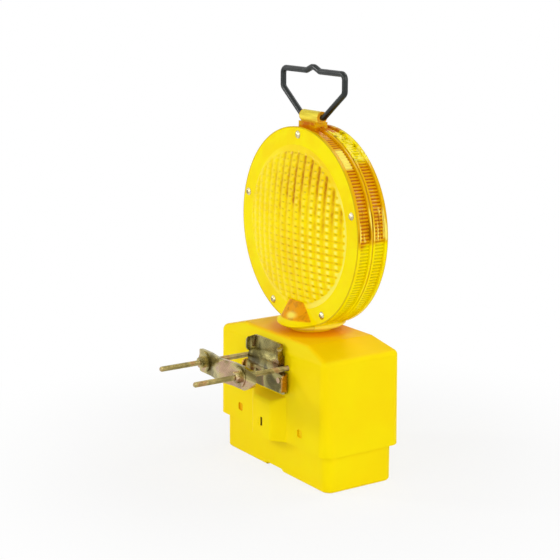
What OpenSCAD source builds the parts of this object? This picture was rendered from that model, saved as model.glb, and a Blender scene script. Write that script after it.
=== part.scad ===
// Barricade warning light: a battery box under a lift-off hood, a swivelling two-shell lens
// head with a carrying bail, and a steel clamp that grips a post or rail.
// Millimetres. Origin: centre of the box's underside. +X is the light's left-to-right width,
// -Y is the clamp side (front), +Z is up.

/* [Battery box] */
// Room between a battery and the box's front and back walls
side_room = 1.3; // [0.8:0.1:4]
// Room between a battery and the box's end wall
end_room = 9.95; // [6:0.05:16]
// Height of the box wall, ground to rim
box_h = 62; // [60:1:64]
// Wall of the battery box
box_wall = 2.8; // [2:0.2:3.2]
// Floor of the battery box
box_floor = 3; // [2.6:0.2:5]
// Radius of the box's upright corners
box_corner_r = 9; // [7:0.5:14]
// Radius of the box's lower edge
box_edge_r = 3; // [1:0.5:3.5]
// Width of the relief in the box's lower front edge
relief_w = 25; // [10:1:50]
// Height of the relief in the box's lower front edge
relief_h = 3.4; // [1:0.2:3.6]
// Depth of the relief, measured on the box's underside
relief_run = 6.5; // [3:0.5:6.5]
// Thickness of the ribs that hold the batteries
rib_t = 2.2; // [1.5:0.1:3]
// Height of the ribs that hold the batteries
rib_top = 45; // [25:1:55]

/* [Batteries] */
// Side of one square lantern battery
battery_w = 67; // [60:0.5:68]
// Height of one battery without its springs
battery_h = 97.5; // [92:0.5:99]
// Gap between the two batteries
battery_gap = 12; // [9:0.5:16]
// Free height of a terminal spring
spring_h = 12; // [9:0.5:13]
// Diameter of the spring wire
spring_wire = 1.1; // [0.8:0.1:1.3]

/* [Hood] */
// Overhang of the hood's lower edge past the box, each side
over_x = 4.25; // [4:0.25:8]
// Overhang of the hood's lower edge past the box, front and back
over_y = 5.9; // [5.5:0.1:9]
// Depth of the hood's lower edge below the box's rim
lip_drop = 26.5; // [24:0.5:32]
// Height of the hood's shoulder above the battery contacts
head_room = 11; // [10:0.5:20]
// Draft of the hood's sides from lip to shoulder, each side
draft_x = 4; // [0:0.5:6]
// Draft of the hood's front and back from lip to shoulder
draft_y = 0.5; // [0:0.1:2]
// Length of the sloping shoulder at each end of the roof
shoulder_run = 33.2; // [20:0.2:45]
// Fall of the shoulder below the roof
shoulder_drop = 8.9; // [6:0.1:14]
// Bevel between the roof and the front and back faces
roof_bevel = 4.5; // [2:0.5:8]
// Wall of the hood
hood_wall = 2.8; // [2:0.2:3.2]
// Radius of the hood's soft edges
edge_r = 6; // [4.5:0.5:8]
// Radius of the hood's upright corners at the lip
hood_corner_r = 11; // [8:0.5:14]

/* [Latch pad and lock] */
// Width of the latch pad's front face
pad_w = 40; // [38:1:50]
// Width of the latch pad where it meets the hood
pad_base_w = 56; // [52:1:66]
// Distance that the latch pad stands out of the hood
pad_out = 9; // [8.6:0.2:12]
// Drop of the latch pad below the hood's lip
pad_drop = 0.5; // [0.5:0.5:4]
// Gap between the latch pad's top and the clamp's saddle
pad_gap = 2; // [1:0.5:6]
// Depth of the lock barrel's axis below the box's rim
lock_drop = 12.4; // [11.6:0.2:13.6]
// Diameter of the lock barrel
barrel_d = 11; // [9:0.5:12]
// Length of the cam from the lock's axis to its tip
cam_reach = 12.5; // [11:0.5:13]
// Width of the cam
cam_w = 9; // [7:0.5:9]

/* [Clamp] */
// Spacing of the two clamp studs
stud_gap = 60; // [56:1:72]
// Diameter of the clamp studs
stud_d = 5; // [4:0.5:6]
// Depth of the studs below the hood's shoulder
stud_drop = 16.8; // [15:0.1:18]
// Distance from the hood's face to the tips of the studs
stud_out = 99.7; // [80:0.5:140]
// Distance from the hood's face to the front of the jaw at the studs
jaw_out = 52.2; // [30:0.2:60]
// Length of the jaw strap
jaw_w = 91; // [84:1:110]
// Height of the jaw strap
jaw_h = 22; // [20:0.5:28]
// Thickness of the jaw's sheet
jaw_t = 2.5; // [1.5:0.1:4]
// Depth of the jaw's shallow V
jaw_v = 3; // [0.5:0.5:5]
// Width of the saddle's upper lobe
saddle_top_w = 54; // [40:1:54]
// Width of the saddle's lower lobe
saddle_low_w = 69; // [56:1:80]
// Height of the saddle
saddle_h = 47; // [40:1:50]
// Depth of the saddle's side flanges
saddle_d = 9; // [6:0.5:14]
// Thickness of the saddle's sheet
saddle_t = 2.2; // [1.5:0.1:2.6]
// Bend radius between the saddle's web and its flanges
saddle_bend = 6.5; // [4:0.5:8]
// Rise of the saddle's pressed ridge
saddle_ridge = 5.2; // [2:0.2:5.8]
// Width across the flats of the clamp nuts
nut_af = 9.5; // [8:0.5:11]
// Thickness of the clamp nuts
nut_t = 5; // [3:0.5:8]
// Diameter of the jaw washers
washer_d = 19; // [13:0.5:20]

/* [Lens head] */
// Radius of the lens rim
lens_r = 93; // [84:0.5:100]
// Half of the lens head's thickness at the rim
lens_half = 16.6; // [14:0.1:22]
// Distance of the lens head's mid plane behind the box's centre
lens_back = 4.4; // [0:0.1:8]
// Wall of the lens shells
lens_wall = 2.4; // [1.6:0.1:3]
// Radius of the domed optic
optic_r = 73; // [64:0.5:76]
// Rise of the domed optic above the flat rim
dome_h = 9; // [4:0.5:14]
// Number of flutes round the side band
flutes = 180; // [60:4:180]
// Depth of a flute
flute_h = 0.8; // [0.3:0.1:1]
// Step from the rim down to the fluted band
rim_step = 1.9; // [1:0.1:2.5]
// Radius of the circle of lens screws
screw_circle_r = 85.8; // [80:0.2:87]
// Diameter of the lens screws
lens_screw_d = 3.6; // [3:0.1:4.5]

/* [Swivel] */
// Outer diameter of the hollow swivel post
post_d = 24; // [20:0.5:28]
// Height of the round seat on the hood's roof
seat_h = 3.7; // [2:0.1:6]
// Radius of the lens collar's lip
collar_r = 32.5; // [28:0.5:36]
// Height of the cone between the collar and the lens face
cone_h = 24; // [18:0.5:30]
// Radius of the cone's top
cone_top_r = 20.2; // [18:0.2:24]

/* [Bail] */
// Diameter of the bail's coated rod
bail_d = 5.5; // [4:0.5:7]
// Width of the bail between the centres of its sides
bail_w = 97; // [84:1:110]
// Height of the bail's bar above its pivot
bail_h = 41.3; // [32:0.1:60]
// Height of the bail's knees above its pivot
knee_h = 24; // [18:0.5:28]
// Rise of the kink in the middle of the bar
kink_h = 3.4; // [1:0.2:5]
// Length of the hinge tube on top of the lens
ear_w = 29; // [28:1:44]
// Outer diameter of the hinge tube
ear_d = 11; // [10.5:0.5:13]
// Height of the hinge tube's axis above the lens rim
ear_rise = 8.5; // [8:0.5:14]

/* [Hidden] */

ROUND = 64;       // facets on a large round form
SMALL_ROUND = 32; // facets on a small round form
EPS = 0.01;       // overlap that joins two solids of one piece

// Fits and clearances
run_gap = 0.05;   // radial gap of a turning shaft in its bore
fit_gap = 0.1;    // radial gap of a fixed spigot or screw in its hole
slide_gap = 0.3;  // gap between neighbouring pieces that must not rub
seat_gap = 0.2;   // gap between the seal and the box's rim
drop_gap = 0.4;   // gap round a battery between its ribs

// Box and batteries
box_in_w = 2 * battery_w + battery_gap + 2 * end_room;
box_in_d = battery_w + 2 * side_room;
box_w = box_in_w + 2 * box_wall;
box_d = box_in_d + 2 * box_wall;
battery_x = (battery_w + battery_gap) / 2;
battery_r = 5;
battery_top = box_floor + battery_h;
spring_base_r = 6.2;
spring_top_r = 3.2;
spring_turns = 4;
spring_off = 16;  // place of the corner terminal from the battery's centre, in X and Y
contact_z = battery_top + spring_h + slide_gap;

// Hood
hood_w = box_w + 2 * over_x;
hood_d = box_d + 2 * over_y;
shoulder_w = hood_w - 2 * draft_x;
shoulder_d = hood_d - 2 * draft_y;
lip_z = box_h - lip_drop;
shoulder_z = contact_z + head_room;
hood_h = shoulder_z - lip_z;
roof_w = shoulder_w - 2 * shoulder_run;
roof_d = shoulder_d - 2 * roof_bevel;
roof_z = shoulder_z + shoulder_drop;
roof_in_z = roof_z - hood_wall;
slope = atan(shoulder_drop / shoulder_run);
roof_r = 5;
seal_t = 2.3;
ledge_t = 2.5;
ledge_z = box_h + seat_gap + seal_t;
dimple_x = 50;
dimple_w = 7.5;
dimple_deep = 1.4;
dimple_z = lip_z + 14;

// Half depth of the hood's outside at height z, below the shoulder
function face_y(z) = hood_d / 2 - draft_y * (z - lip_z) / hood_h;
function side_x(z) = hood_w / 2 - draft_x * (z - lip_z) / hood_h;

// Board under the roof
strip_t = 0.8;
board_t = 1.6;
board_w = box_in_w - 24;
board_d = box_in_d - 11.6;
board_z = contact_z + strip_t;
board_top = board_z + board_t;
board_post_x = board_w / 2 - 5;
board_post_y = board_d / 2 - 5;
board_post_r = 3.5;
board_screw_r = 1.25;
board_screw_l = 8;
board_screw_head_r = 2.8;
board_screw_head_t = 1.8;
capacitor_x = 38;
capacitor_y = 14;
capacitor_r = 5;
capacitor_h = 9.5;
capacitor_bead = 0.8;
chip_x = -38;
chip_w = 10;
chip_d = 6.6;
chip_h = 4;
leg_w = 0.6;
leg_pitch = 2.5;
transistor_x = -54;
transistor_y = -9.5;
transistor_w = 10;
transistor_d = 9;
transistor_h = 4.5;
tab_d = 6;
tab_t = 1.3;
resistor_x = 28;
resistor_y = -18;
resistor_pitch = 6;
resistor_r = 1.2;
resistor_l = 7;
lead_r = 0.4;
lead_l = 1.4;
switch_y = -16;
switch_w = 14;
switch_d = 7;
switch_t = 5;
slider_w = 3;
slider_travel = 2.5;

// Heights of the clamp
stud_r = stud_d / 2;
stud_x = stud_gap / 2;
stud_z = shoulder_z - stud_drop;
saddle_z0 = stud_z - 26;
saddle_z1 = saddle_z0 + saddle_h;

// Latch pad, lock and keeper
lock_z = box_h - lock_drop;
pad_top_z = saddle_z0 - pad_gap;
pad_wall = 2.6;
pad_front = hood_d / 2 + pad_out;
pad_r = 7;
pad_roll = 4;        // height over which the pad's top rolls back to the hood
pad_cave_top = min(ledge_z - 0.6, pad_top_z - 13);
pad_cave_w = 34;
barrel_r = barrel_d / 2;
flange_t = 1.5;
retainer_t = 1.5;
retainer_w = 28;
retainer_h = 14;
retainer_x = 11.2;
cam_t = 2;
hub_r = 3.6;
barrel_face_y = -pad_front + 0.15;
flange_y = -pad_front + pad_wall + fit_gap;       // front of the barrel's flange
retainer_y = flange_y + flange_t + slide_gap;     // front of the retainer plate
retainer_screw_head = 1.3;
cam_y = retainer_y + retainer_t + retainer_screw_head + slide_gap;
keeper_t = 1.5;
keeper_w = 9;
keeper_x = cam_w / 2 + 2;
keeper_gap = 0.8;
keeper_back = 0.2;                                // ledge's front edge behind the cam's front face
keeper_ledge_z = lock_z + cam_w / 2 + keeper_gap;
rivet_r = 1.5;

// Clamp
stud_gap_r = 0.25;
lead_ease = 0.2;                                   // free end of the thread under the nominal radius
stud_washer_r = 7.5;
face_at_stud = face_y(stud_z);
stud_washer_t = 1.2;
stud_head_t = 3;
stud_head_r = 4.6;
stud_in_y = -(face_at_stud - hood_wall) + fit_gap; // front of the inner washer
saddle_back = face_y(saddle_z0) + 0.05;
saddle_notch = stud_r + 2.2;
saddle_rivet_x = 19;
saddle_rivet_z = saddle_z0 + 12;
ridge_up = 10;                                     // from the ridge's crest to its upper end
ridge_turn = 72;                                       // degrees that the ridge's arc turns each way
ridge_down = 8.5;                                  // from the ridge's crest to its lower end
jaw_y = -(face_at_stud + jaw_out);                 // jaw's front face at the studs
jaw_washer_t = 1.2;
jaw_curl_r = 8;
curl_step = 7.5;                                   // degrees of one flat of the curl

// Swivel and lens
post_r = post_d / 2;
seat_z = roof_z + seat_h;
neck_washer_t = 0.5;
lens_seat_z = seat_z + neck_washer_t + 2 * fit_gap;
neck_drop = 0.3;
lens_z = lens_seat_z + lens_r + neck_drop;
collar_floor = 4;
post_flange_r = post_r + 5;
post_flange_t = 3;
post_flange_z = lens_seat_z + collar_floor + 0.25;
post_bore_r = post_r - 3;
post_low_z = board_top + 2.8;
post_nut_t = 5.5;
post_nut_gap = 0.3;
stem_r = 4;
stem_bore_r = 2.6;
stem_foot_r = post_r;
stem_foot_t = 2.2;
stem_foot_z = post_flange_z + post_flange_t;
socket_r = 6.5;
socket_h = 16;
socket_z = lens_z - 24;
bulb_r = 5.6;
bulb_base_r = 4.4;
wire_r = 0.7;
wire_x = 1.3;

band_r = lens_r - rim_step;
band_in_r = band_r - flute_h - 1.6;
rim_t = 3.2;
mid_t = 2.6;
gasket_t = 1.2;
gasket_in_r = band_in_r + 1;
gasket_out_r = lens_r - 0.9;
gasket_gap = 0.1;
neck_angle = 24;                                   // half angle left out of the gasket at the neck
dome_r = (optic_r * optic_r + dome_h * dome_h) / (2 * dome_h);
screw_angles = [90, 15, 165, -62.5, 242.5];
boss_r = 4.3;
screw_head_r = 3.6;
screw_head_t = 2.2;
screw_l = 2 * lens_half - 6;

ear_z = lens_r + ear_rise;                         // hinge axis above the lens centre
ear_block_half_d = 7;
ear_block_w = ear_w - 3;
ear_sink = 4.5;                                    // height of the hinge axis above the ear block
bail_r = bail_d / 2;
bail_end_x = 8;
bail_bend = 5;
ear_gap = 2.5;        // from the hinge tube's end to the middle of the bail's bend
kink_foot_x = 10.5;
kink_top_x = 2.2;

// ---------- shared forms ----------

// Rounded rectangle, centred
module rounded_rect(w, d, r) {
  square([w - 2 * r, d], center = true);
  square([w, d - 2 * r], center = true);
  for (sx = [-1, 1], sy = [-1, 1])
    translate([sx * (w / 2 - r), sy * (d / 2 - r)])
      circle(r, $fn = ROUND);
}

// Upright rounded block
module slab(w, d, h, r) {
  linear_extrude(h) rounded_rect(w, d, r);
}

// Section with its two lower corners rounded
module pan_section(w, h, e) {
  translate([-w / 2, e]) square([w, h - e]);
  translate([-w / 2 + e, 0]) square([w - 2 * e, e + EPS]);
  for (s = [-1, 1])
    translate([s * (w / 2 - e), e]) circle(e, $fn = SMALL_ROUND);
}

// Block with upright corners of radius r and a lower edge of radius e
module soft_pan(w, d, h, r, e) {
  for (sx = [-1, 1], sy = [-1, 1])
    translate([sx * (w / 2 - r), sy * (d / 2 - r), 0])
      rotate_extrude($fn = ROUND) {
        translate([0, e]) square([r, h - e]);
        square([r - e, e + EPS]);
        translate([r - e, e]) circle(e, $fn = SMALL_ROUND);
      }
  translate([-(w - 2 * r) / 2, 0, 0]) rotate([90, 0, 90])
    linear_extrude(w - 2 * r) pan_section(d, h, e);
  translate([0, (d - 2 * r) / 2, 0]) rotate([90, 0, 0])
    linear_extrude(d - 2 * r) pan_section(w, h, e);
}

// Cylinder along Y from y0 to y1 at (x, z)
module rod_y(x, z, y0, y1, r, fn = SMALL_ROUND) {
  translate([x, y1, z]) rotate([90, 0, 0]) cylinder(r = r, h = y1 - y0, $fn = fn);
}

// Flat outline in X and Z, thickened from y0 to y1
module plate_y(y0, y1) {
  translate([0, y1, 0]) rotate([90, 0, 0]) linear_extrude(y1 - y0) children();
}

// Moves children to both studs
module at_studs() {
  for (s = [-1, 1]) translate([s * stud_x, 0, stud_z]) children();
}

// Round rod through a list of plane points, with a bend of radius bend at each inner point
module bent_rod(pts, r, bend) {
  n = len(pts);
  lap = 0.05;   // how far a straight length runs into the next bend
  swell = 0.02; // the coating's extra thickness in a bend
  dir = [for (i = [0:n - 2]) (pts[i + 1] - pts[i]) / norm(pts[i + 1] - pts[i])];
  turn = [for (i = [1:n - 2]) acos(dir[i - 1] * dir[i])];
  cut = concat([0], [for (a = turn) bend * tan(a / 2)], [0]);
  for (i = [0:n - 2]) {
    a = pts[i] + dir[i] * cut[i];
    b = pts[i + 1] - dir[i] * cut[i + 1];
    translate([a[0], a[1], 0]) rotate([0, 0, atan2(dir[i][1], dir[i][0])])
      translate([-lap, 0, 0]) rotate([0, 90, 0])
        cylinder(r = r, h = norm(b - a) + 2 * lap, $fn = SMALL_ROUND);
  }
  for (i = [1:n - 2]) {
    u = dir[i - 1];
    side = sign(u[0] * dir[i][1] - u[1] * dir[i][0]);
    normal = side * [-u[1], u[0]];
    start = pts[i] - u * cut[i];
    middle = start + normal * bend;
    from = atan2(-normal[1], -normal[0]);
    translate([middle[0], middle[1], 0])
      rotate([0, 0, side > 0 ? from : from - turn[i - 1]])
        rotate_extrude(angle = turn[i - 1], $fn = ROUND)
          translate([bend, 0]) circle(r + swell, $fn = SMALL_ROUND);
  }
}

// ---------- battery box ----------

module battery_ribs() {
  rib_h = rib_top - box_floor;
  // the two webs between the batteries
  for (s = [-1, 1])
    translate([s * (battery_gap / 2 - drop_gap - rib_t / 2) - rib_t / 2,
        -box_in_d / 2 - EPS, box_floor - EPS])
      cube([rib_t, box_in_d + 2 * EPS, rib_h]);
  // two ribs at each end
  end_x = battery_x + battery_w / 2 + drop_gap;
  for (sx = [-1, 1], sy = [-1, 1])
    translate([sx > 0 ? end_x : -box_in_w / 2 - EPS, sy * box_in_d * 0.29 - rib_t / 2,
        box_floor - EPS])
      cube([box_in_w / 2 - end_x + EPS, rib_t, rib_h]);
}

module battery_box() {
  color([1, 0.85, 0]) difference() {
    union() {
      difference() {
        soft_pan(box_w, box_d, box_h, box_corner_r, box_edge_r);
        translate([0, 0, box_floor])
          slab(box_in_w, box_in_d, box_h, box_corner_r - box_wall);
      }
      battery_ribs();
    }
    // relief in the lower front edge, sloping down inwards, with slanted ends
    intersection() {
      plate_y(-box_d / 2 - 2, -box_d / 2 + relief_run + 1)
        polygon([[-relief_w / 2 - relief_h, -2], [-relief_w / 2, relief_h + 1],
          [relief_w / 2, relief_h + 1], [relief_w / 2 + relief_h, -2]]);
      translate([-box_w / 2, -box_d / 2, 0]) rotate([90, 0, 90]) linear_extrude(box_w)
        polygon([[-relief_run, 2 * relief_h], [relief_run + 0.6 * relief_run, -0.6 * relief_h],
          [-relief_run, -0.6 * relief_h]]);
    }
    for (z = keeper_rivet_z)
      rod_y(keeper_x + keeper_w / 2, z, -box_d / 2 - 1, -box_in_d / 2 + 1, rivet_r + fit_gap);
  }
}

keeper_rivet_z = [keeper_ledge_z - 4.2, keeper_ledge_z + keeper_t + 2.6];

// Angle riveted to the box, under whose ledge the lock's cam turns
module latch_keeper() {
  low_z = keeper_ledge_z - 7.5;
  color([0.66, 0.6, 0.4]) difference() {
    union() {
      translate([keeper_x, -box_d / 2 - keeper_t, low_z])
        cube([keeper_w, keeper_t, box_h - 0.5 - low_z]);
      translate([keeper_x, cam_y + keeper_back, keeper_ledge_z])
        cube([keeper_w, -box_d / 2 - cam_y - keeper_back, keeper_t]);
    }
    for (z = keeper_rivet_z)
      rod_y(keeper_x + keeper_w / 2, z, -box_d / 2 - keeper_t - 1, -box_d / 2 + 1,
        rivet_r + fit_gap);
  }
}

module keeper_rivets() {
  color([0.75, 0.75, 0.72])
    for (z = keeper_rivet_z) {
      x = keeper_x + keeper_w / 2;
      rod_y(x, z, -box_d / 2 - keeper_t, -box_in_d / 2, rivet_r);
      rod_y(x, z, -box_d / 2 - keeper_t - 0.8, -box_d / 2 - keeper_t, rivet_r + 0.9);
      rod_y(x, z, -box_in_d / 2, -box_in_d / 2 + 0.6, rivet_r + 0.8);
    }
}

// ---------- batteries ----------

module battery(side) {
  lid_t = 3;
  rim = 1;
  translate([side * battery_x, 0, box_floor]) {
    slab(battery_w, battery_w, battery_h - lid_t, battery_r);
    // the lid is drawn in inside the rolled edge of the jacket
    slab(battery_w - 2 * rim, battery_w - 2 * rim, battery_h - 1, battery_r - rim);
    slab(battery_w - 6, battery_w - 6, battery_h - spring_seat_h, battery_r - rim);
    for (p = terminals())
      translate([side * p[0], p[1], 0])
        cylinder(r = spring_base_r + 1, h = battery_h, $fn = SMALL_ROUND);
  }
}

spring_seat_h = 0.6;
function terminals() = [[0, 0], [spring_off, spring_off]];

module battery_left() {
  color([0.32, 0.34, 0.36]) battery(-1);
}

module battery_right() {
  color([0.32, 0.34, 0.36]) battery(1);
}

// One conical spring as an unbroken six-sided tube
RINGS = 8;
SIDES = 6;
spring_rings = spring_turns * RINGS;
function spring_at(t) =
  let (r = spring_base_r + (spring_top_r - spring_base_r) * t,
       a = 360 * spring_turns * t,
       z = spring_wire / 2 + (spring_h - spring_wire) * t)
  [r * cos(a), r * sin(a), z];
function spring_ring(i) =
  let (t = i / spring_rings, a = 360 * spring_turns * t, c = spring_at(t))
  [for (k = [0:SIDES - 1])
    let (b = 360 * k / SIDES + 30, q = spring_wire / 2 * cos(b))
    c + [q * cos(a), q * sin(a), spring_wire / 2 * sin(b)]];
function spring_points() = [for (i = [0:spring_rings]) each spring_ring(i)];
function spring_faces() = concat(
  [[for (k = [0:SIDES - 1]) k]],
  [[for (k = [0:SIDES - 1]) spring_rings * SIDES + SIDES - 1 - k]],
  [for (i = [0:spring_rings - 1], k = [0:SIDES - 1])
    let (a = i * SIDES + k, b = i * SIDES + (k + 1) % SIDES)
    each [[a, a + SIDES, b], [b, a + SIDES, b + SIDES]]]);
spring_least_gap = min([for (i = [0:spring_rings - RINGS])
  norm(spring_at((i + RINGS) / spring_rings) - spring_at(i / spring_rings))]) - spring_wire;
echo("least gap between the turns of a terminal spring, mm", spring_least_gap);

module battery_springs() {
  color([0.72, 0.72, 0.7])
    for (side = [-1, 1], p = terminals())
      translate([side * (battery_x + p[0]), p[1], battery_top])
        polyhedron(points = spring_points(), faces = spring_faces());
}

// ---------- hood ----------

// The hood's outside, or the space inside it when inset by the wall and begun lower by below
module hood_form(inset, below, fn) {
  edge_drop = edge_r * (1 - sin(slope)) / cos(slope);
  hull() {
    translate([0, 0, lip_z - below]) linear_extrude(EPS)
      rounded_rect(hood_w - 2 * inset, hood_d - 2 * inset, hood_corner_r - inset, $fn = fn);
    for (sx = [-1, 1], sy = [-1, 1]) {
      translate([sx * (shoulder_w / 2 - edge_r), sy * (shoulder_d / 2 - edge_r),
          shoulder_z - edge_drop])
        sphere(edge_r - inset, $fn = fn);
      translate([sx * (roof_w / 2 - roof_r * tan(slope / 2)), sy * (roof_d / 2 - roof_r),
          roof_z - roof_r])
        sphere(roof_r - inset, $fn = fn);
    }
  }
}

// The latch pad's outside
module pad_form() {
  front_x = pad_w / 2 - pad_r;
  low_z = lip_z - pad_drop;
  root = 0.6;   // depth of the pad's root in the hood's wall
  root_w = 2;
  hull() {
    for (s = [-1, 1]) {
      translate([s * front_x, -pad_front + pad_r, low_z])
        cylinder(r = pad_r, h = EPS, $fn = SMALL_ROUND);
      translate([s * front_x, -pad_front + pad_r, pad_top_z - pad_r - pad_roll])
        sphere(pad_r, $fn = SMALL_ROUND);
      translate([s * (pad_base_w / 2 + root - root_w / 2) - root_w / 2, -hood_d / 2 + root,
          low_z])
        cube([root_w, hood_wall / 2, pad_top_z - low_z]);
    }
  }
}

// The open space inside the pad, where the lock and the keeper meet
module pad_cave() {
  front_r = 3;
  hull() {
    for (s = [-1, 1]) {
      translate([s * (pad_cave_w / 2 - front_r), -pad_front + pad_wall + front_r,
          lip_z - pad_drop - 1])
        cylinder(r = front_r, h = pad_cave_top - lip_z + pad_drop + 1, $fn = SMALL_ROUND);
      translate([s * (pad_cave_w / 2) - 1, -box_d / 2 - 1 - slide_gap, lip_z - pad_drop - 1])
        cube([2, 1, pad_cave_top - lip_z + pad_drop + 1]);
    }
  }
}

module hood_ledge() {
  wall_mid = hood_wall / 2;
  translate([0, 0, ledge_z]) difference() {
    slab(2 * (side_x(ledge_z) - wall_mid), 2 * (face_y(ledge_z) - wall_mid), ledge_t,
      hood_corner_r - wall_mid);
    translate([0, 0, -1])
      slab(box_in_w - 1, box_in_d - 1, ledge_t + 2, box_corner_r - box_wall);
  }
}

module board_posts() {
  for (sx = [-1, 1], sy = [-1, 1])
    translate([sx * board_post_x, sy * board_post_y, board_top])
      cylinder(r = board_post_r, h = roof_z - hood_wall / 2 - board_top
        - shoulder_drop * max(0, board_post_x - roof_w / 2) / shoulder_run,
        $fn = SMALL_ROUND);
}

module hood() {
  color([1, 0.85, 0]) difference() {
    union() {
      difference() {
        union() {
          hood_form(0, 0, SMALL_ROUND);
          pad_form();
        }
        hood_form(hood_wall, 1, 24);
        pad_cave();
      }
      hood_ledge();
      board_posts();
      for (s = [-1, 1])
        rod_y(s * retainer_x, lock_z, -pad_front + pad_wall - 0.5, retainer_y, 2.4);
      // round seat of the swivel, and its stiffening ring under the roof
      translate([0, lens_back, roof_in_z - EPS])
        cylinder(r = post_r + 8, h = seat_z - roof_in_z + EPS, $fn = ROUND);
    }
    translate([0, lens_back, roof_in_z - 2])
      cylinder(r = post_r + fit_gap, h = seat_h + hood_wall + 4, $fn = ROUND);
    at_studs() rod_y(0, 0, -hood_d / 2 - 1, -hood_d / 2 + hood_wall + 3, stud_r + stud_gap_r);
    rod_y(0, lock_z, -pad_front - 1, -pad_front + pad_wall + 1, barrel_r + run_gap);
    for (s = [-1, 1]) {
      rod_y(s * retainer_x, lock_z, -pad_front + pad_wall, retainer_y + 1, 1 + fit_gap);
      rod_y(s * saddle_rivet_x, saddle_rivet_z, -hood_d / 2 - 1, -hood_d / 2 + hood_wall + 3,
        rivet_r + fit_gap);
      // moulded dimples on the front face
      plate_y(-face_y(dimple_z) - 1, -face_y(dimple_z) + dimple_deep)
        translate([s * dimple_x, dimple_z]) rounded_rect(dimple_w, dimple_w, 2);
    }
    for (sx = [-1, 1], sy = [-1, 1])
      translate([sx * board_post_x, sy * board_post_y, board_top - 1])
        cylinder(r = board_screw_r + run_gap, h = board_screw_l + 1, $fn = SMALL_ROUND);
  }
}

module rim_seal() {
  color([0.1, 0.1, 0.1]) translate([0, 0, box_h + seat_gap]) difference() {
    slab(box_w - 0.5, box_d - 0.5, seal_t, box_corner_r - 0.25);
    translate([0, 0, -1])
      slab(box_in_w + 0.5, box_in_d + 0.5, seal_t + 2, box_corner_r - box_wall + 0.25);
  }
}

// ---------- electrics ----------

module circuit_board() {
  color([0.1, 0.4, 0.2]) difference() {
    translate([0, 0, board_z]) slab(board_w, board_d, board_t, 3);
    for (sx = [-1, 1], sy = [-1, 1])
      translate([sx * board_post_x, sy * board_post_y, board_z - 1])
        cylinder(r = 1.6, h = board_t + 2, $fn = SMALL_ROUND);
  }
}

module flasher_parts() {
  // smoothing capacitor with its rounded can
  color([0.15, 0.2, 0.35]) translate([capacitor_x, capacitor_y, board_top]) {
    cylinder(r = capacitor_r, h = capacitor_h - capacitor_bead, $fn = SMALL_ROUND);
    cylinder(r = capacitor_r - capacitor_bead, h = capacitor_h, $fn = SMALL_ROUND);
  }
  // timer chip in its eight-leg package
  color([0.12, 0.12, 0.13]) translate([chip_x, 0, board_top]) {
    translate([-chip_w / 2, -chip_d / 2, leg_w]) cube([chip_w, chip_d, chip_h - leg_w]);
    for (i = [-1.5:1:1.5], s = [-1, 1])
      translate([i * leg_pitch - leg_w / 2, s * (chip_d + leg_w) / 2 - leg_w / 2, 0])
        cube([leg_w, leg_w, 1.6]);
  }
  // lamp transistor on its tab
  color([0.2, 0.2, 0.2])
    translate([transistor_x - transistor_w / 2, transistor_y - transistor_d / 2, board_top]) {
      cube([transistor_w, transistor_d, transistor_h]);
      translate([0, transistor_d, 0]) cube([transistor_w, tab_d, tab_t]);
    }
  // resistors
  color([0.8, 0.7, 0.5])
    for (i = [0:3])
      translate([resistor_x + resistor_pitch * i, resistor_y, board_top + resistor_r])
        rotate([-90, 0, 0]) {
          cylinder(r = resistor_r, h = resistor_l, $fn = SMALL_ROUND);
          translate([0, 0, -lead_l])
            cylinder(r = lead_r, h = resistor_l + 2 * lead_l, $fn = 16);
        }
}

// Two brass strips that join the batteries side by side
module contact_strips() {
  strip_w = 10;
  past = 7;
  color([0.8, 0.65, 0.3])
    for (p = terminals()) {
      reach = battery_x + p[0] + past;
      difference() {
        translate([0, p[1], contact_z]) slab(2 * reach, strip_w, strip_t, 2);
        for (s = [-1, 1])
          translate([s * (battery_x + p[0]), p[1], contact_z - 1])
            cylinder(r = 1, h = strip_t + 2, $fn = SMALL_ROUND);
      }
    }
}

module board_screws() {
  color([0.7, 0.7, 0.68])
    for (sx = [-1, 1], sy = [-1, 1])
      translate([sx * board_post_x, sy * board_post_y, board_z]) {
        cylinder(r = board_screw_r, h = board_screw_l, $fn = SMALL_ROUND);
        translate([0, 0, -board_screw_head_t])
          cylinder(r = board_screw_head_r, h = board_screw_head_t, $fn = SMALL_ROUND);
      }
}

// Slide switch hanging under the board, reached when the hood is off
module mode_switch() {
  color([0.15, 0.15, 0.16]) difference() {
    translate([0, switch_y, board_z - switch_t]) slab(switch_w, switch_d, switch_t, 0.8);
    translate([0, switch_y, board_z - switch_t - 1])
      slab(slider_w + 2 * slider_travel + 2 * slide_gap, slider_w + 2 * slide_gap, 3.2, 0.3);
  }
}

module switch_slider() {
  color([0.85, 0.85, 0.85]) translate([0, switch_y, board_z - switch_t - 2.6]) {
    slab(slider_w, slider_w, 4.5, 0.5);
    translate([0, 0, -0.4]) slab(slider_w - 0.8, slider_w - 0.8, 1, 0.4);
  }
}

module lamp_wires() {
  color([0.6, 0.05, 0.05])
    for (s = [-1, 1])
      translate([s * wire_x, lens_back, board_top])
        cylinder(r = wire_r, h = socket_z - board_top, $fn = 16);
}

// ---------- swivel and lamp ----------

module swivel_post() {
  color([0.12, 0.12, 0.12]) translate([0, lens_back, 0]) difference() {
    union() {
      translate([0, 0, post_low_z])
        cylinder(r = post_r, h = post_flange_z - post_low_z + EPS, $fn = ROUND);
      translate([0, 0, post_flange_z])
        cylinder(r = post_flange_r, h = post_flange_t, $fn = ROUND);
    }
    translate([0, 0, post_low_z - 1])
      cylinder(r = post_bore_r, h = post_flange_z + post_flange_t - post_low_z + 2,
        $fn = ROUND);
  }
}

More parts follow.
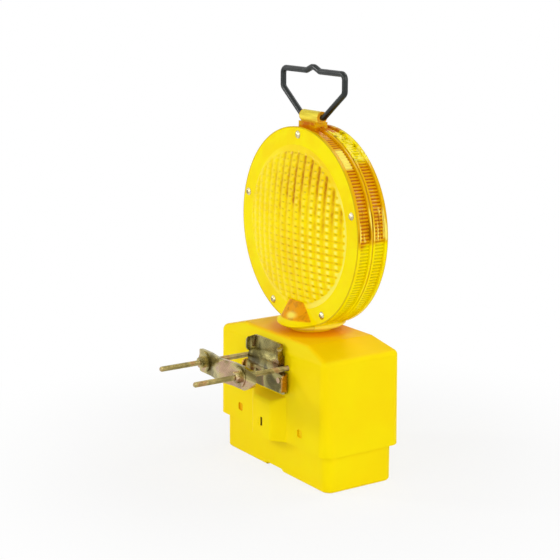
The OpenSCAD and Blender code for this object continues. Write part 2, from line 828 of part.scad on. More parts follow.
module post_nut() {
  color([0.12, 0.12, 0.12])
    translate([0, lens_back, roof_in_z - post_nut_gap - post_nut_t]) difference() {
      cylinder(r = post_r + 8.5, h = post_nut_t, $fn = 6);
      translate([0, 0, -1])
        cylinder(r = post_r + fit_gap, h = post_nut_t + 2, $fn = ROUND);
    }
}

module neck_washer() {
  color([0.9, 0.9, 0.88]) translate([0, lens_back, seat_z + fit_gap]) difference() {
    cylinder(r = post_r + 7, h = neck_washer_t, $fn = ROUND);
    translate([0, 0, -1]) cylinder(r = post_r + 0.3, h = 3, $fn = ROUND);
  }
}

module lamp_stem() {
  spigot = 8;
  color([0.15, 0.15, 0.15]) translate([0, lens_back, 0]) difference() {
    union() {
      translate([0, 0, stem_foot_z - spigot])
        cylinder(r = post_bore_r - fit_gap, h = spigot + EPS, $fn = ROUND);
      translate([0, 0, stem_foot_z]) cylinder(r = stem_foot_r, h = stem_foot_t, $fn = ROUND);
      translate([0, 0, stem_foot_z + stem_foot_t - EPS])
        cylinder(r1 = stem_r + 4, r2 = stem_r, h = 8, $fn = ROUND);
      translate([0, 0, stem_foot_z])
        cylinder(r = stem_r, h = socket_z - stem_foot_z, $fn = SMALL_ROUND);
    }
    translate([0, 0, stem_foot_z - spigot - 1])
      cylinder(r = stem_bore_r, h = socket_z - stem_foot_z + spigot + 2,
        $fn = SMALL_ROUND);
  }
}

module lamp_socket() {
  lip = 1.6;
  color([0.1, 0.1, 0.1]) translate([0, lens_back, socket_z]) difference() {
    union() {
      cylinder(r = socket_r, h = socket_h, $fn = ROUND);
      translate([0, 0, socket_h - 3]) cylinder(r = socket_r + lip, h = 3, $fn = ROUND);
      for (z = [3:3:9])
        translate([0, 0, z]) cylinder(r = socket_r + 0.5, h = 1.2, $fn = ROUND);
    }
    translate([0, 0, socket_h - 10])
      cylinder(r = bulb_base_r + fit_gap, h = 12, $fn = SMALL_ROUND);
  }
}

module bulb() {
  neck = 3.5;
  color([0.9, 0.9, 0.85, 0.5]) translate([0, lens_back, socket_z + socket_h]) {
    translate([0, 0, -9.5]) cylinder(r = bulb_base_r, h = 10.5, $fn = SMALL_ROUND);
    cylinder(r = bulb_base_r + 0.7, h = 1, $fn = SMALL_ROUND);
    translate([0, 0, 1 - EPS])
      cylinder(r1 = neck, r2 = bulb_r * 0.9, h = 4, $fn = SMALL_ROUND);
    translate([0, 0, 1 + 4 + bulb_r * 0.43]) sphere(bulb_r, $fn = SMALL_ROUND);
  }
}

// ---------- clamp ----------

// Plan section of one lobe: a channel that opens forward
module channel_section(w) {
  r = saddle_bend;
  difference() {
    translate([0, -saddle_back - saddle_d / 2 - r]) rounded_rect(w, saddle_d + 2 * r, r);
    translate([0, -saddle_back - saddle_d / 2 - r - saddle_t])
      rounded_rect(w - 2 * saddle_t, saddle_d + 2 * r, r - saddle_t);
    translate([-w, -saddle_back - saddle_d - 4 * r]) square([2 * w, 4 * r]);
  }
}

// One lobe of the saddle, with its flanges rounded off above and below. The outline's own
// corners lie at the top when corner_up is true, otherwise at the foot.
module saddle_lobe(w, low, high, corner, corner_up) {
  trim = 0.3;
  flange_r = 5;
  h = high - low;
  intersection() {
    translate([0, 0, low - 1]) linear_extrude(h + 2) channel_section(w);
    translate([-w, 0, 0]) rotate([90, 0, 90]) linear_extrude(2 * w)
      translate([-saddle_back, low + h / 2])
        rounded_rect(2 * (saddle_d - trim), h, flange_r);
    plate_y(-saddle_back - saddle_d - 2, -saddle_back + 1)
      translate([0, low + h / 2 + (corner_up ? -1 : 1) * (corner - trim)])
        rounded_rect(w + 2 * trim, h + 2 * corner, corner);
  }
}

// Side profile of the ridge: an arc from its upper end over the crest to its lower end
function ridge_arc(up, down, crest, foot) =
  [for (a = [ridge_turn : -ridge_turn / 6 : -ridge_turn])
    [crest + (foot - crest) * (1 - cos(a)) / (1 - cos(ridge_turn)),
      (a > 0 ? up : down) * sin(a) / sin(ridge_turn)]];

// A pressed steel channel with a narrow upper lobe, a wide lower lobe, a notch at each stud
// and a ridge across it that bears on the post
module clamp_saddle() {
  half = stud_x - saddle_notch;
  front = -saddle_back - saddle_t;
  back = -saddle_back;
  crest = front - saddle_ridge;
  color([0.62, 0.56, 0.36]) difference() {
    union() {
      saddle_lobe(saddle_top_w, stud_z + saddle_notch, saddle_z1, 8, true);
      saddle_lobe(saddle_low_w, saddle_z0, stud_z - saddle_notch, 12, false);
      translate([-half, 0, stud_z]) rotate([90, 0, 90]) linear_extrude(2 * half)
        polygon(concat([[back - 0.3, ridge_up]],
          ridge_arc(ridge_up, ridge_down, crest, front + 0.4), [[back - 0.3, -ridge_down]]));
    }
    // the hollow behind the ridge
    translate([-half + saddle_t, 0, stud_z]) rotate([90, 0, 90])
      linear_extrude(2 * (half - saddle_t))
        polygon(ridge_arc(ridge_up - saddle_t, ridge_down - saddle_t, crest + saddle_t,
          back + 1));
    for (s = [-1, 1])
      rod_y(s * saddle_rivet_x, saddle_rivet_z, -saddle_back - 5, -saddle_back + 1,
        rivet_r + fit_gap);
  }
}

module saddle_rivets() {
  front = -saddle_back - saddle_t;
  inner = -face_y(saddle_rivet_z) + hood_wall;
  color([0.7, 0.66, 0.5])
    for (s = [-1, 1]) {
      x = s * saddle_rivet_x;
      rod_y(x, saddle_rivet_z, front - 0.4, inner + 0.5, rivet_r);
      rod_y(x, saddle_rivet_z, front - 0.9, front, rivet_r + 1.2);
      rod_y(x, saddle_rivet_z, inner + 0.1, inner + 0.9, rivet_r + 1);
    }
}

module clamp_studs() {
  tip = 1;
  tip_y = -face_at_stud - stud_out + tip;
  lead_y = jaw_y - jaw_washer_t - nut_t - 1.5;
  free_r = stud_r - lead_ease;
  color([0.66, 0.6, 0.4]) at_studs() {
    rod_y(0, 0, lead_y, stud_in_y + stud_washer_t + EPS, stud_r);
    // the free end in front of the nuts is a touch under size, so that the nuts start easily
    rod_y(0, 0, tip_y, lead_y + 0.4, free_r);
    translate([0, tip_y + EPS, 0]) rotate([90, 0, 0])
      cylinder(r1 = free_r, r2 = free_r - tip * 0.7, h = tip, $fn = SMALL_ROUND);
    rod_y(0, 0, stud_in_y + stud_washer_t, stud_in_y + stud_washer_t + stud_head_t,
      stud_head_r, 6);
  }
}

module stud_washers() {
  color([0.66, 0.6, 0.4]) at_studs() difference() {
    rod_y(0, 0, stud_in_y, stud_in_y + stud_washer_t, stud_washer_r);
    rod_y(0, 0, stud_in_y - 1, stud_in_y + stud_washer_t + 1, stud_r + fit_gap);
  }
}

function mirrored(path) = [for (i = [len(path) - 1 : -1 : 0]) [-path[i].x, path[i].y]];

// Plan section of the jaw: a shallow V whose ends curl back towards the hood
module jaw_section() {
  knee = jaw_w / 2 - jaw_curl_r;
  flat_x = stud_x - washer_d / 2 - 0.6;
  middle_y = jaw_y + jaw_curl_r;
  in_r = jaw_curl_r - jaw_t;
  curl = [for (a = [0 : curl_step : 90]) a];
  front = concat([[flat_x, jaw_y]],
    [for (a = curl) [knee + jaw_curl_r * sin(a), middle_y - jaw_curl_r * cos(a)]]);
  back = concat([for (a = curl) [knee + in_r * cos(a), middle_y - in_r * sin(a)]],
    [[flat_x, jaw_y + jaw_t]]);
  polygon(concat([[0, jaw_y - jaw_v]], front, back, [[0, jaw_y - jaw_v + jaw_t]],
    mirrored(back), mirrored(front)));
}

module clamp_jaw() {
  color([0.62, 0.56, 0.4]) difference() {
    intersection() {
      translate([0, 0, stud_z - jaw_h / 2 - 1]) linear_extrude(jaw_h + 2) jaw_section();
      // rounded ends, whose straight edge stays clear of the curls
      plate_y(jaw_y - jaw_v - 1, jaw_y + jaw_curl_r + 1)
        translate([0, stud_z]) rounded_rect(jaw_w + 1, jaw_h, jaw_h / 2 - 0.5);
    }
    at_studs() rod_y(0, 0, jaw_y - 5, jaw_y + jaw_t + 1, stud_r + stud_gap_r);
  }
}

module jaw_washers() {
  color([0.7, 0.64, 0.45]) at_studs() difference() {
    rod_y(0, 0, jaw_y - jaw_washer_t, jaw_y, washer_d / 2);
    rod_y(0, 0, jaw_y - jaw_washer_t - 1, jaw_y + 1, stud_r + stud_gap_r);
  }
}

module clamp_nut(side) {
  y1 = jaw_y - jaw_washer_t;
  hex_r = nut_af / 2 / cos(30);
  translate([side * stud_x, 0, stud_z]) difference() {
    intersection() {
      rod_y(0, 0, y1 - nut_t, y1, hex_r, 6);
      // chamfered corners
      translate([0, y1, 0]) rotate([90, 0, 0])
        cylinder(r1 = hex_r + 2, r2 = nut_af / 2, h = nut_t, $fn = ROUND);
    }
    rod_y(0, 0, y1 - nut_t - 1, y1 + 1, stud_r + run_gap);
  }
}

module nut_left() {
  color([0.72, 0.68, 0.5]) clamp_nut(-1);
}

module nut_right() {
  color([0.72, 0.68, 0.5]) clamp_nut(1);
}

// ---------- lock ----------

module lock_barrel() {
  slot_w = 3.4;
  slot_h = 8.4;
  color([1, 0.83, 0]) difference() {
    union() {
      rod_y(0, lock_z, barrel_face_y, flange_y + EPS, barrel_r, ROUND);
      rod_y(0, lock_z, flange_y, flange_y + flange_t, barrel_r + 1.6);
      rod_y(0, lock_z, flange_y, cam_y + cam_t, hub_r);
    }
    translate([-slot_w / 2, barrel_face_y - 1, lock_z - slot_h / 2])
      cube([slot_w, 3.4, slot_h]);
    rod_y(0, lock_z, cam_y - 3, cam_y + cam_t + 1, 1.3);
  }
}

module lock_cam() {
  color([0.66, 0.6, 0.4]) difference() {
    plate_y(cam_y, cam_y + cam_t) {
      translate([0, lock_z]) circle(cam_w / 2 + 0.8, $fn = ROUND);
      translate([-cam_w / 2, lock_z - cam_reach + cam_w / 2])
        square([cam_w, cam_reach - cam_w / 2]);
      translate([0, lock_z - cam_reach + cam_w / 2]) circle(cam_w / 2, $fn = ROUND);
    }
    rod_y(0, lock_z, cam_y - 1, cam_y + cam_t + 1, hub_r + run_gap);
  }
}

module cam_screw() {
  color([0.75, 0.75, 0.72]) {
    rod_y(0, lock_z, cam_y - 2.8, cam_y + cam_t + EPS, 1.2);
    rod_y(0, lock_z, cam_y + cam_t, cam_y + cam_t + 1.2, hub_r + 0.6);
  }
}

module lock_retainer() {
  color([0.66, 0.6, 0.4]) difference() {
    plate_y(retainer_y, retainer_y + retainer_t)
      translate([0, lock_z]) rounded_rect(retainer_w, retainer_h, 3);
    rod_y(0, lock_z, retainer_y - 1, retainer_y + retainer_t + 1, hub_r + slide_gap);
    for (s = [-1, 1])
      rod_y(s * retainer_x, lock_z, retainer_y - 1, retainer_y + retainer_t + 1, 1.15);
  }
}

module retainer_screws() {
  head_y = retainer_y + retainer_t;
  color([0.75, 0.75, 0.72])
    for (s = [-1, 1]) {
      rod_y(s * retainer_x, lock_z, -pad_front + pad_wall + 0.2, head_y, 1);
      rod_y(s * retainer_x, lock_z, head_y, head_y + retainer_screw_head, 2);
    }
}

// ---------- lens head ----------
// In the lens's own frame x is to the right, y is up and z is towards the front of one shell.

module in_lens_frame() {
  translate([0, lens_back, lens_z]) rotate([90, 0, 0]) children();
}

// Side band with its row of V flutes
module fluted_band() {
  translate([0, 0, mid_t / 2]) linear_extrude(lens_half - rim_t / 2 - mid_t / 2) difference() {
    polygon([for (i = [0:2 * flutes - 1])
      (band_r - (i % 2) * flute_h) * [cos(i * 180 / flutes), sin(i * 180 / flutes)]]);
    circle(band_in_r + 0.6, $fn = 96);
  }
}

// Section of the turned shell: mid flange, side wall, rim, flat annulus and domed optic
module shell_section() {
  centre = lens_half + dome_h - dome_r;
  translate([band_in_r, -1]) square([lens_r - band_in_r, mid_t + 1]);
  translate([band_in_r, 0]) square([1.3, lens_half - 1]);
  translate([band_in_r, lens_half - rim_t]) square([lens_r - band_in_r, rim_t]);
  translate([optic_r - 1.5, lens_half - lens_wall])
    square([lens_r - optic_r + 1, lens_wall]);
  intersection() {
    translate([0, centre]) difference() {
      circle(dome_r, $fn = 360);
      circle(dome_r - lens_wall, $fn = 360);
    }
    translate([0, lens_half - lens_wall - 0.6]) square([optic_r, dome_h + lens_wall + 2]);
  }
}

// The collar and cone at the foot, turned about the swivel's axis
module neck_turned(pts) {
  rotate([-90, 0, 0]) rotate_extrude($fn = ROUND) polygon(pts);
}

neck_bottom = -lens_r - neck_drop;
cone_foot_z = neck_bottom + 6.4;
cone_foot_r = collar_r - 3;
cone_top_z = neck_bottom + cone_h;

module neck_outside() {
  neck_turned([[0, neck_bottom], [collar_r - 2.5, neck_bottom],
    [collar_r, neck_bottom + 2], [collar_r, neck_bottom + 4], [cone_foot_r, cone_foot_z],
    [cone_top_r, cone_top_z], [0, cone_top_z]]);
}

module neck_inside() {
  floor_z = neck_bottom + collar_floor;
  neck_turned([[0, floor_z], [cone_foot_r - lens_wall, floor_z],
    [cone_foot_r - lens_wall, cone_foot_z - 1],
    [cone_top_r - lens_wall, cone_top_z - lens_wall], [0, cone_top_z - lens_wall]]);
}

// The space that the flat shell encloses
module shell_space() {
  bite = 0.4; // how far the space reaches into the walls, so that they join as one piece
  translate([0, 0, -1])
    cylinder(r = band_in_r + bite, h = lens_half - lens_wall + 1 + bite, $fn = 96);
}

module ear_outside() {
  translate([-ear_w / 2, ear_z, 0]) rotate([0, 90, 0])
    cylinder(r = ear_d / 2, h = ear_w, $fn = ROUND);
  translate([-ear_block_w / 2, band_in_r + 0.8, -ear_block_half_d])
    cube([ear_block_w, ear_z - ear_sink - band_in_r - 0.8, 2 * ear_block_half_d]);
}

// One moulded half of the lens, opened on its mid plane z = 0
module lens_shell() {
  difference() {
    intersection() {
      difference() {
        union() {
          rotate_extrude($fn = 96) shell_section();
          fluted_band();
          difference() {
            union() {
              neck_outside();
              ear_outside();
            }
            shell_space();
          }
          for (a = screw_angles)
            rotate([0, 0, a]) translate([screw_circle_r, 0, -1])
              cylinder(r = boss_r, h = lens_half - 0.2, $fn = SMALL_ROUND);
        }
        neck_inside();
        // bore of the foot round the swivel post
        rotate([90, 0, 0]) cylinder(r = post_r + run_gap, h = lens_r + 1, $fn = ROUND);
        // bore of the hinge tube
        translate([-ear_w / 2 - 1, ear_z, 0]) rotate([0, 90, 0])
          cylinder(r = bail_r + run_gap, h = ear_w + 2, $fn = SMALL_ROUND);
      }
      translate([-2 * lens_r, -2 * lens_r, 0]) cube([4 * lens_r, 4 * lens_r, 2 * lens_r]);
    }
    gasket_ring(gasket_gap);
  }
}

// Sealing ring between the shells, open at the foot
module gasket_ring(gap) {
  sweep = 360 - 2 * neck_angle;
  rotate([0, 0, -90 + neck_angle - (gap > 0 ? 0.3 : 0)])
    rotate_extrude(angle = sweep + (gap > 0 ? 0.6 : 0), $fn = 96)
      translate([gasket_in_r - gap, -gasket_t / 2 - gap])
        square([gasket_out_r - gasket_in_r + gap + (gap > 0 ? 2 : 0), gasket_t + 2 * gap]);
}

module lens_front() {
  color([1, 0.75, 0.05, 0.7]) in_lens_frame() difference() {
    lens_shell();
    for (a = screw_angles)
      rotate([0, 0, a]) translate([screw_circle_r, 0, -1])
        cylinder(r = lens_screw_d / 2 + fit_gap, h = lens_half + 2, $fn = SMALL_ROUND);
  }
}

module lens_rear() {
  color([1, 0.75, 0.05, 0.7]) in_lens_frame() rotate([0, 180, 0]) difference() {
    lens_shell();
    for (a = screw_angles)
      rotate([0, 0, 180 - a]) translate([screw_circle_r, 0, -1])
        cylinder(r = lens_screw_d / 2 + fit_gap, h = screw_l - lens_half + 2,
          $fn = SMALL_ROUND);
  }
}

module lens_gasket() {
  color([0.9, 0.7, 0.1]) in_lens_frame() gasket_ring(0);
}

module lens_screws() {
  color([0.85, 0.8, 0.65]) in_lens_frame()
    for (a = screw_angles)
      rotate([0, 0, a]) translate([screw_circle_r, 0, lens_half]) {
        translate([0, 0, -screw_l]) cylinder(r = lens_screw_d / 2, h = screw_l + EPS,
          $fn = SMALL_ROUND);
        // domed head, cut from a ball
        difference() {
          intersection() {
            cylinder(r = screw_head_r, h = screw_head_t, $fn = SMALL_ROUND);
            translate([0, 0, screw_head_t - 4.6]) sphere(4.6, $fn = SMALL_ROUND);
          }
          for (b = [0, 90])
            rotate([0, 0, b]) translate([-0.4, -2, screw_head_t - 0.9]) cube([0.8, 4, 2]);
        }
      }
}

// ---------- bail ----------

module bail_handle() {
  half = bail_w / 2;
  leg_x = ear_w / 2 + ear_gap;
  path = [[bail_end_x, 0], [leg_x, 0], [half, knee_h], [half, bail_h], [kink_foot_x, bail_h],
    [kink_top_x, bail_h + kink_h]];
  color([0.12, 0.13, 0.13]) translate([0, lens_back, lens_z + ear_z]) rotate([90, 0, 0])
    bent_rod(concat(path, [for (i = [len(path) - 1:-1:0]) [-path[i][0], path[i][1]]]),
      bail_r, bail_bend);
}

battery_box();
latch_keeper();
keeper_rivets();
battery_left();
battery_right();
battery_springs();
hood();
rim_seal();
circuit_board();
flasher_parts();
contact_strips();
board_screws();
mode_switch();
switch_slider();
lamp_wires();
swivel_post();
post_nut();
neck_washer();
lamp_stem();
lamp_socket();
bulb();
clamp_saddle();
saddle_rivets();
clamp_studs();
stud_washers();
clamp_jaw();
jaw_washers();
nut_left();
nut_right();
lock_retainer();
retainer_screws();
lock_barrel();
lock_cam();
cam_screw();
lens_front();
lens_rear();
lens_gasket();
lens_screws();
bail_handle();
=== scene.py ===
"""Looks of the barricade warning light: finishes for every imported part, and the fine forms
that the solids leave out, which are the lens's pressed optics and the studs' threads.

All lengths are in metres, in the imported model's frame: +X along the box, -Y towards the
clamp, +Z up.
"""
from __future__ import annotations

import logging
import math
from dataclasses import dataclass
from enum import Enum
from functools import partial, reduce
from typing import Sequence, Union

import bpy
import numpy as np
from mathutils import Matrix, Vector


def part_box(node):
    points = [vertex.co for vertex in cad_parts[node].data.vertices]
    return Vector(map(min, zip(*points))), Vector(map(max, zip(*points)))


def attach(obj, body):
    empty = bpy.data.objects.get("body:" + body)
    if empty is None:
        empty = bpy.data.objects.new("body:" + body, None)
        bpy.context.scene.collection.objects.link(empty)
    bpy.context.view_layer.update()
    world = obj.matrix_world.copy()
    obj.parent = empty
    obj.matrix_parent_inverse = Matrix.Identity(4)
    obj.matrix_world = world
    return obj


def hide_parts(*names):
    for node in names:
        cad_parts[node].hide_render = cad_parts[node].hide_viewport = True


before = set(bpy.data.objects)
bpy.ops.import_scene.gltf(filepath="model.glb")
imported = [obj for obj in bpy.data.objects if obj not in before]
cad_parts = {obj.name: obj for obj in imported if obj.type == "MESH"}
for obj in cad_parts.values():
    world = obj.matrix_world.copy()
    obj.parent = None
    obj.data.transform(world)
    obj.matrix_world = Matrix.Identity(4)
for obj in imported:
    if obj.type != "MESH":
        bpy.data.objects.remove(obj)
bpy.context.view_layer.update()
LOG = logging.getLogger("warning_light")

MM = 0.001
Colour = tuple[float, float, float]
Faces = list[tuple[int, ...]]
Socket = bpy.types.NodeSocket
Value = Union[Socket, float]
Shade = Union[Socket, Colour]


def srgb(red: float, green: float, blue: float) -> Colour:
    """Turns a screen colour of 0 to 255 into Blender's linear values."""
    return tuple(((v / 255 + 0.055) / 1.055) ** 2.4 if v > 10 else v / 255 / 12.92
                 for v in (red, green, blue))


def bearing(azimuth: float, elevation: float) -> Vector:
    """The direction from the object to a lamp or the camera.

    Args:
        azimuth: Degrees from the front towards +X.
        elevation: Degrees above the floor.

    Returns:
        A vector one metre long.
    """
    turn, rise = math.radians(azimuth), math.radians(elevation)
    return Vector((math.sin(turn) * math.cos(rise), -math.cos(turn) * math.cos(rise),
                   math.sin(rise)))


# ---------------------------------------------------------------- node graphs


class Ease(Enum):
    """How a span runs from its low end to its high end."""

    STRAIGHT = "LINEAR"
    SOFT = "SMOOTHSTEP"


@dataclass(frozen=True)
class Grain:
    """A noise that finishes read.

    Its fields are the features per metre, the octaves, the share that each finer octave
    keeps, how far the noise swirls, and how it is squeezed along each axis.
    """

    scale: float
    detail: float = 2
    roughness: float = 0.5
    distortion: float = 0
    squeeze: tuple[float, float, float] | None = None


@dataclass(frozen=True)
class Relief:
    """A fine relief that a finish carries: its noise, its strength and its depth."""

    grain: Grain
    strength: float
    depth: float


class Graph:
    """The node tree of a finish or of the world, with short calls for the nodes in use."""

    NOISE_LOW = 0.3
    NOISE_HIGH = 0.7

    def __init__(self, owner: bpy.types.Material | bpy.types.World, output: str) -> None:
        """Clears the tree and gives it one output.

        Args:
            owner: The material or world that the tree belongs to.
            output: The output node's kind, as node() takes it.
        """
        owner.use_nodes = True
        self.owner = owner
        self.tree = owner.node_tree
        self.tree.nodes.clear()
        self.output = self.node(output)
        self.colour: Shade = (1, 1, 1)
        self._coords: Socket | None = None
        self._noises: dict[Grain, Socket] = {}

    @classmethod
    def finish(cls, name: str) -> Graph:
        """Starts a material of this name."""
        return cls(bpy.data.materials.new(name), "OutputMaterial")

    def feed(self, socket: Socket, value: Value | Colour) -> None:
        """Links a value to an input, or sets the input to it.

        Args:
            socket: The input.
            value: Another node's output, a number, or a colour.
        """
        if isinstance(value, Socket):
            self.tree.links.new(value, socket)
        elif socket.type == "RGBA":
            socket.default_value = (*value, 1)
        else:
            socket.default_value = value

    def node(self, kind: str, inputs: dict[str | int, Value | Colour] | None = None,
             **settings: object) -> bpy.types.Node:
        """Adds a node.

        Args:
            kind: The node's Blender type, without its "ShaderNode" prefix.
            inputs: What goes into its inputs, by their names or places.
            settings: Its properties.

        Returns:
            The new node.
        """
        made = self.tree.nodes.new("ShaderNode" + kind)
        for name, value in settings.items():
            setattr(made, name, value)
        for place, value in (inputs or {}).items():
            self.feed(made.inputs[place], value)
        return made

    def coords(self) -> Socket:
        """The object coordinates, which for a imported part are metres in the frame."""
        self._coords = self._coords or self.node("TexCoord").outputs["Object"]
        return self._coords

    def xyz(self, vector: Socket | None = None) -> tuple[Socket, Socket, Socket]:
        """The three parts of a vector, or of the object coordinates."""
        return tuple(self.node("SeparateXYZ", {0: vector or self.coords()}).outputs)

    def attribute(self, name: str) -> Socket:
        """A value stored on the mesh's points."""
        return self.node("Attribute", attribute_name=name).outputs["Fac"]

    def noise(self, grain: Grain) -> Socket:
        """Reads a noise, which is added to the graph when it is first read.

        Args:
            grain: What the noise is like.

        Returns:
            The noise's value, about NOISE_LOW to NOISE_HIGH.
        """
        if grain not in self._noises:
            where = self.coords()
            if grain.squeeze is not None:
                mapping = self.node("Mapping", {"Vector": where, "Scale": grain.squeeze})
                where = mapping.outputs["Vector"]
            made = self.node("TexNoise", {
                "Vector": where, "Scale": grain.scale, "Detail": grain.detail,
                "Roughness": grain.roughness, "Distortion": grain.distortion})
            self._noises[grain] = made.outputs["Fac"]
        return self._noises[grain]

    def ramp(self, value: Socket, stops: Sequence[tuple[float, Colour]]) -> Socket:
        """Maps a value to colours.

        Args:
            value: The value.
            stops: Places from 0 to 1, each with its colour.

        Returns:
            The colour.
        """
        made = self.node("ValToRGB", {"Fac": value})
        line = made.color_ramp.elements
        while len(line) < len(stops):
            line.new(0.5)
        for element, (place, colour) in zip(line, stops):
            element.position = place
            element.color = (*colour, 1)
        return made.outputs["Color"]

    def span(self, value: Value, low: float, high: float, to_low: Value = 0,
             to_high: float = 1, ease: Ease = Ease.SOFT) -> Socket:
        """Maps a value from one range to another, and clamps outside it.

        Args:
            value: The value.
            low: Where the range starts, which may be its greater end.
            high: Where it ends.
            to_low: What the start becomes.
            to_high: What the end becomes.
            ease: How it runs between them.

        Returns:
            The mapped value.
        """
        made = self.node("MapRange", {
            "Value": value, "From Min": low, "From Max": high, "To Min": to_low,
            "To Max": to_high}, interpolation_type=ease.value)
        return made.outputs["Result"]

    def spread(self, noise: Socket, low: float, high: float) -> Socket:
        """Spreads a noise's whole reach over a range."""
        return self.span(noise, self.NOISE_LOW, self.NOISE_HIGH, low, high)

    def above(self, value: Value, limit: float, soft: float) -> Socket:
        """1 where a value is over a limit, with an edge that is soft each way."""
        return self.span(value, limit - soft, limit + soft)

    def below(self, value: Value, limit: float, soft: float) -> Socket:
        """1 where a value is under a limit, with an edge that is soft each way."""
        return self.span(value, limit + soft, limit - soft)

    def math(self, operation: str, first: Value, second: Value = 0) -> Socket:
        """One sum of two values, by the name of Blender's Math operation."""
        return self.node("Math", {0: first, 1: second}, operation=operation).outputs[0]

    def plus(self, first: Value, second: Value) -> Socket:
        """The first value plus the second."""
        return self.math("ADD", first, second)

    def minus(self, first: Value, second: Value) -> Socket:
        """The first value less the second."""
        return self.math("SUBTRACT", first, second)

    def larger(self, first: Value, second: Value) -> Socket:
        """The larger of two values, or where either of two masks holds."""
        return self.math("MAXIMUM", first, second)

    def size(self, value: Value) -> Socket:
        """A value without its sign."""
        return self.math("ABSOLUTE", value)

    def times(self, first: Value, *others: Value) -> Socket:
        """The product of values, or where all of several masks hold."""
        return reduce(partial(self.math, "MULTIPLY"), others, first)

    def hypot(self, first: Value, second: Value) -> Socket:
        """Distance from the origin of a point with these two coordinates."""
        return self.math("SQRT", self.plus(self.times(first, first),
                                           self.times(second, second)))

    def grow(self, base: float, more: float, mask: Socket) -> Socket:
        """A strength that rises from base, by as much as more where the mask is full."""
        return self.plus(base, self.times(mask, more))

    def blend(self, share: Socket, first: Value, second: Value) -> Socket:
        """A value that moves from the first to the second with the share."""
        return self.plus(self.times(self.minus(1, share), first), self.times(share, second))

    def mix(self, share: Value, first: Shade, second: Shade) -> Socket:
        """Mixes two colours.

        Args:
            share: How much of the second colour, 0 to 1.
            first: Colour where share is 0.
            second: Colour where share is 1.

        Returns:
            The mixed colour.
        """
        factor, first_place, second_place = 0, 6, 7
        made = self.node("Mix", data_type="RGBA")
        for place, value in ((factor, share), (first_place, first), (second_place, second)):
            self.feed(made.inputs[place], value)
        return made.outputs[2]

    def coat(self, colour: Shade, *masks: Value) -> None:
        """Lays a colour over the finish's colour so far, where all the masks hold."""
        self.colour = self.mix(self.times(*masks), self.colour, colour)

    def bump(self, height: Socket, strength: float, depth: float,
             under: Socket | None = None) -> Socket:
        """Bumps the surface.

        Args:
            height: The bump's height.
            strength: How much of it counts, 0 to 1.
            depth: Metres that a height of 1 stands for.
            under: Another bump that this one lies on, or None.

        Returns:
            The bumped normal.
        """
        inputs = {"Strength": strength, "Distance": depth, "Height": height}
        if under is not None:
            inputs["Normal"] = under
        return self.node("Bump", inputs).outputs["Normal"]

    def carry(self, *reliefs: Relief) -> Socket:
        """Lays reliefs on each other.

        Args:
            reliefs: The reliefs, from the lowest up.

        Returns:
            The bumped normal.
        """
        normal = None
        for relief in reliefs:
            normal = self.bump(self.noise(relief.grain), relief.strength, relief.depth,
                               normal)
        return normal

    def surface(self, roughness: Value, normal: Socket | None = None, **others: Value
                ) -> None:
        """Finishes the material with one physical shader, in the colour so far.

        Args:
            roughness: Roughness.
            normal: Bumped normal, or None.
            others: Other shader inputs, with underscores for spaces.
        """
        inputs = {"Base Color": self.colour, "Roughness": roughness}
        inputs.update({name.replace("_", " "): value for name, value in others.items()})
        if normal is not None:
            inputs["Normal"] = normal
        shader = self.node("BsdfPrincipled", inputs)
        self.feed(self.output.inputs["Surface"], shader.outputs[0])


# ---------------------------------------------------------------- finishes


@dataclass(frozen=True)
class Finish:
    """A finish, by its material's name. Each kind of finish paints it in its own way."""

    name: str

    def paint(self, g: Graph) -> None:
        """Paints the finish on its graph, which each kind has to do."""
        raise NotImplementedError(self.name)

    def make(self) -> bpy.types.Material:
        """Builds the finish.

        Returns:
            The material.
        """
        g = Graph.finish(self.name)
        self.paint(g)
        return g.owner


class Recess(Enum):
    """What is sunk in the face of a yellow piece and lies in shade."""

    DIMPLES = "dimples"
    KEY_SLOT = "key slot"


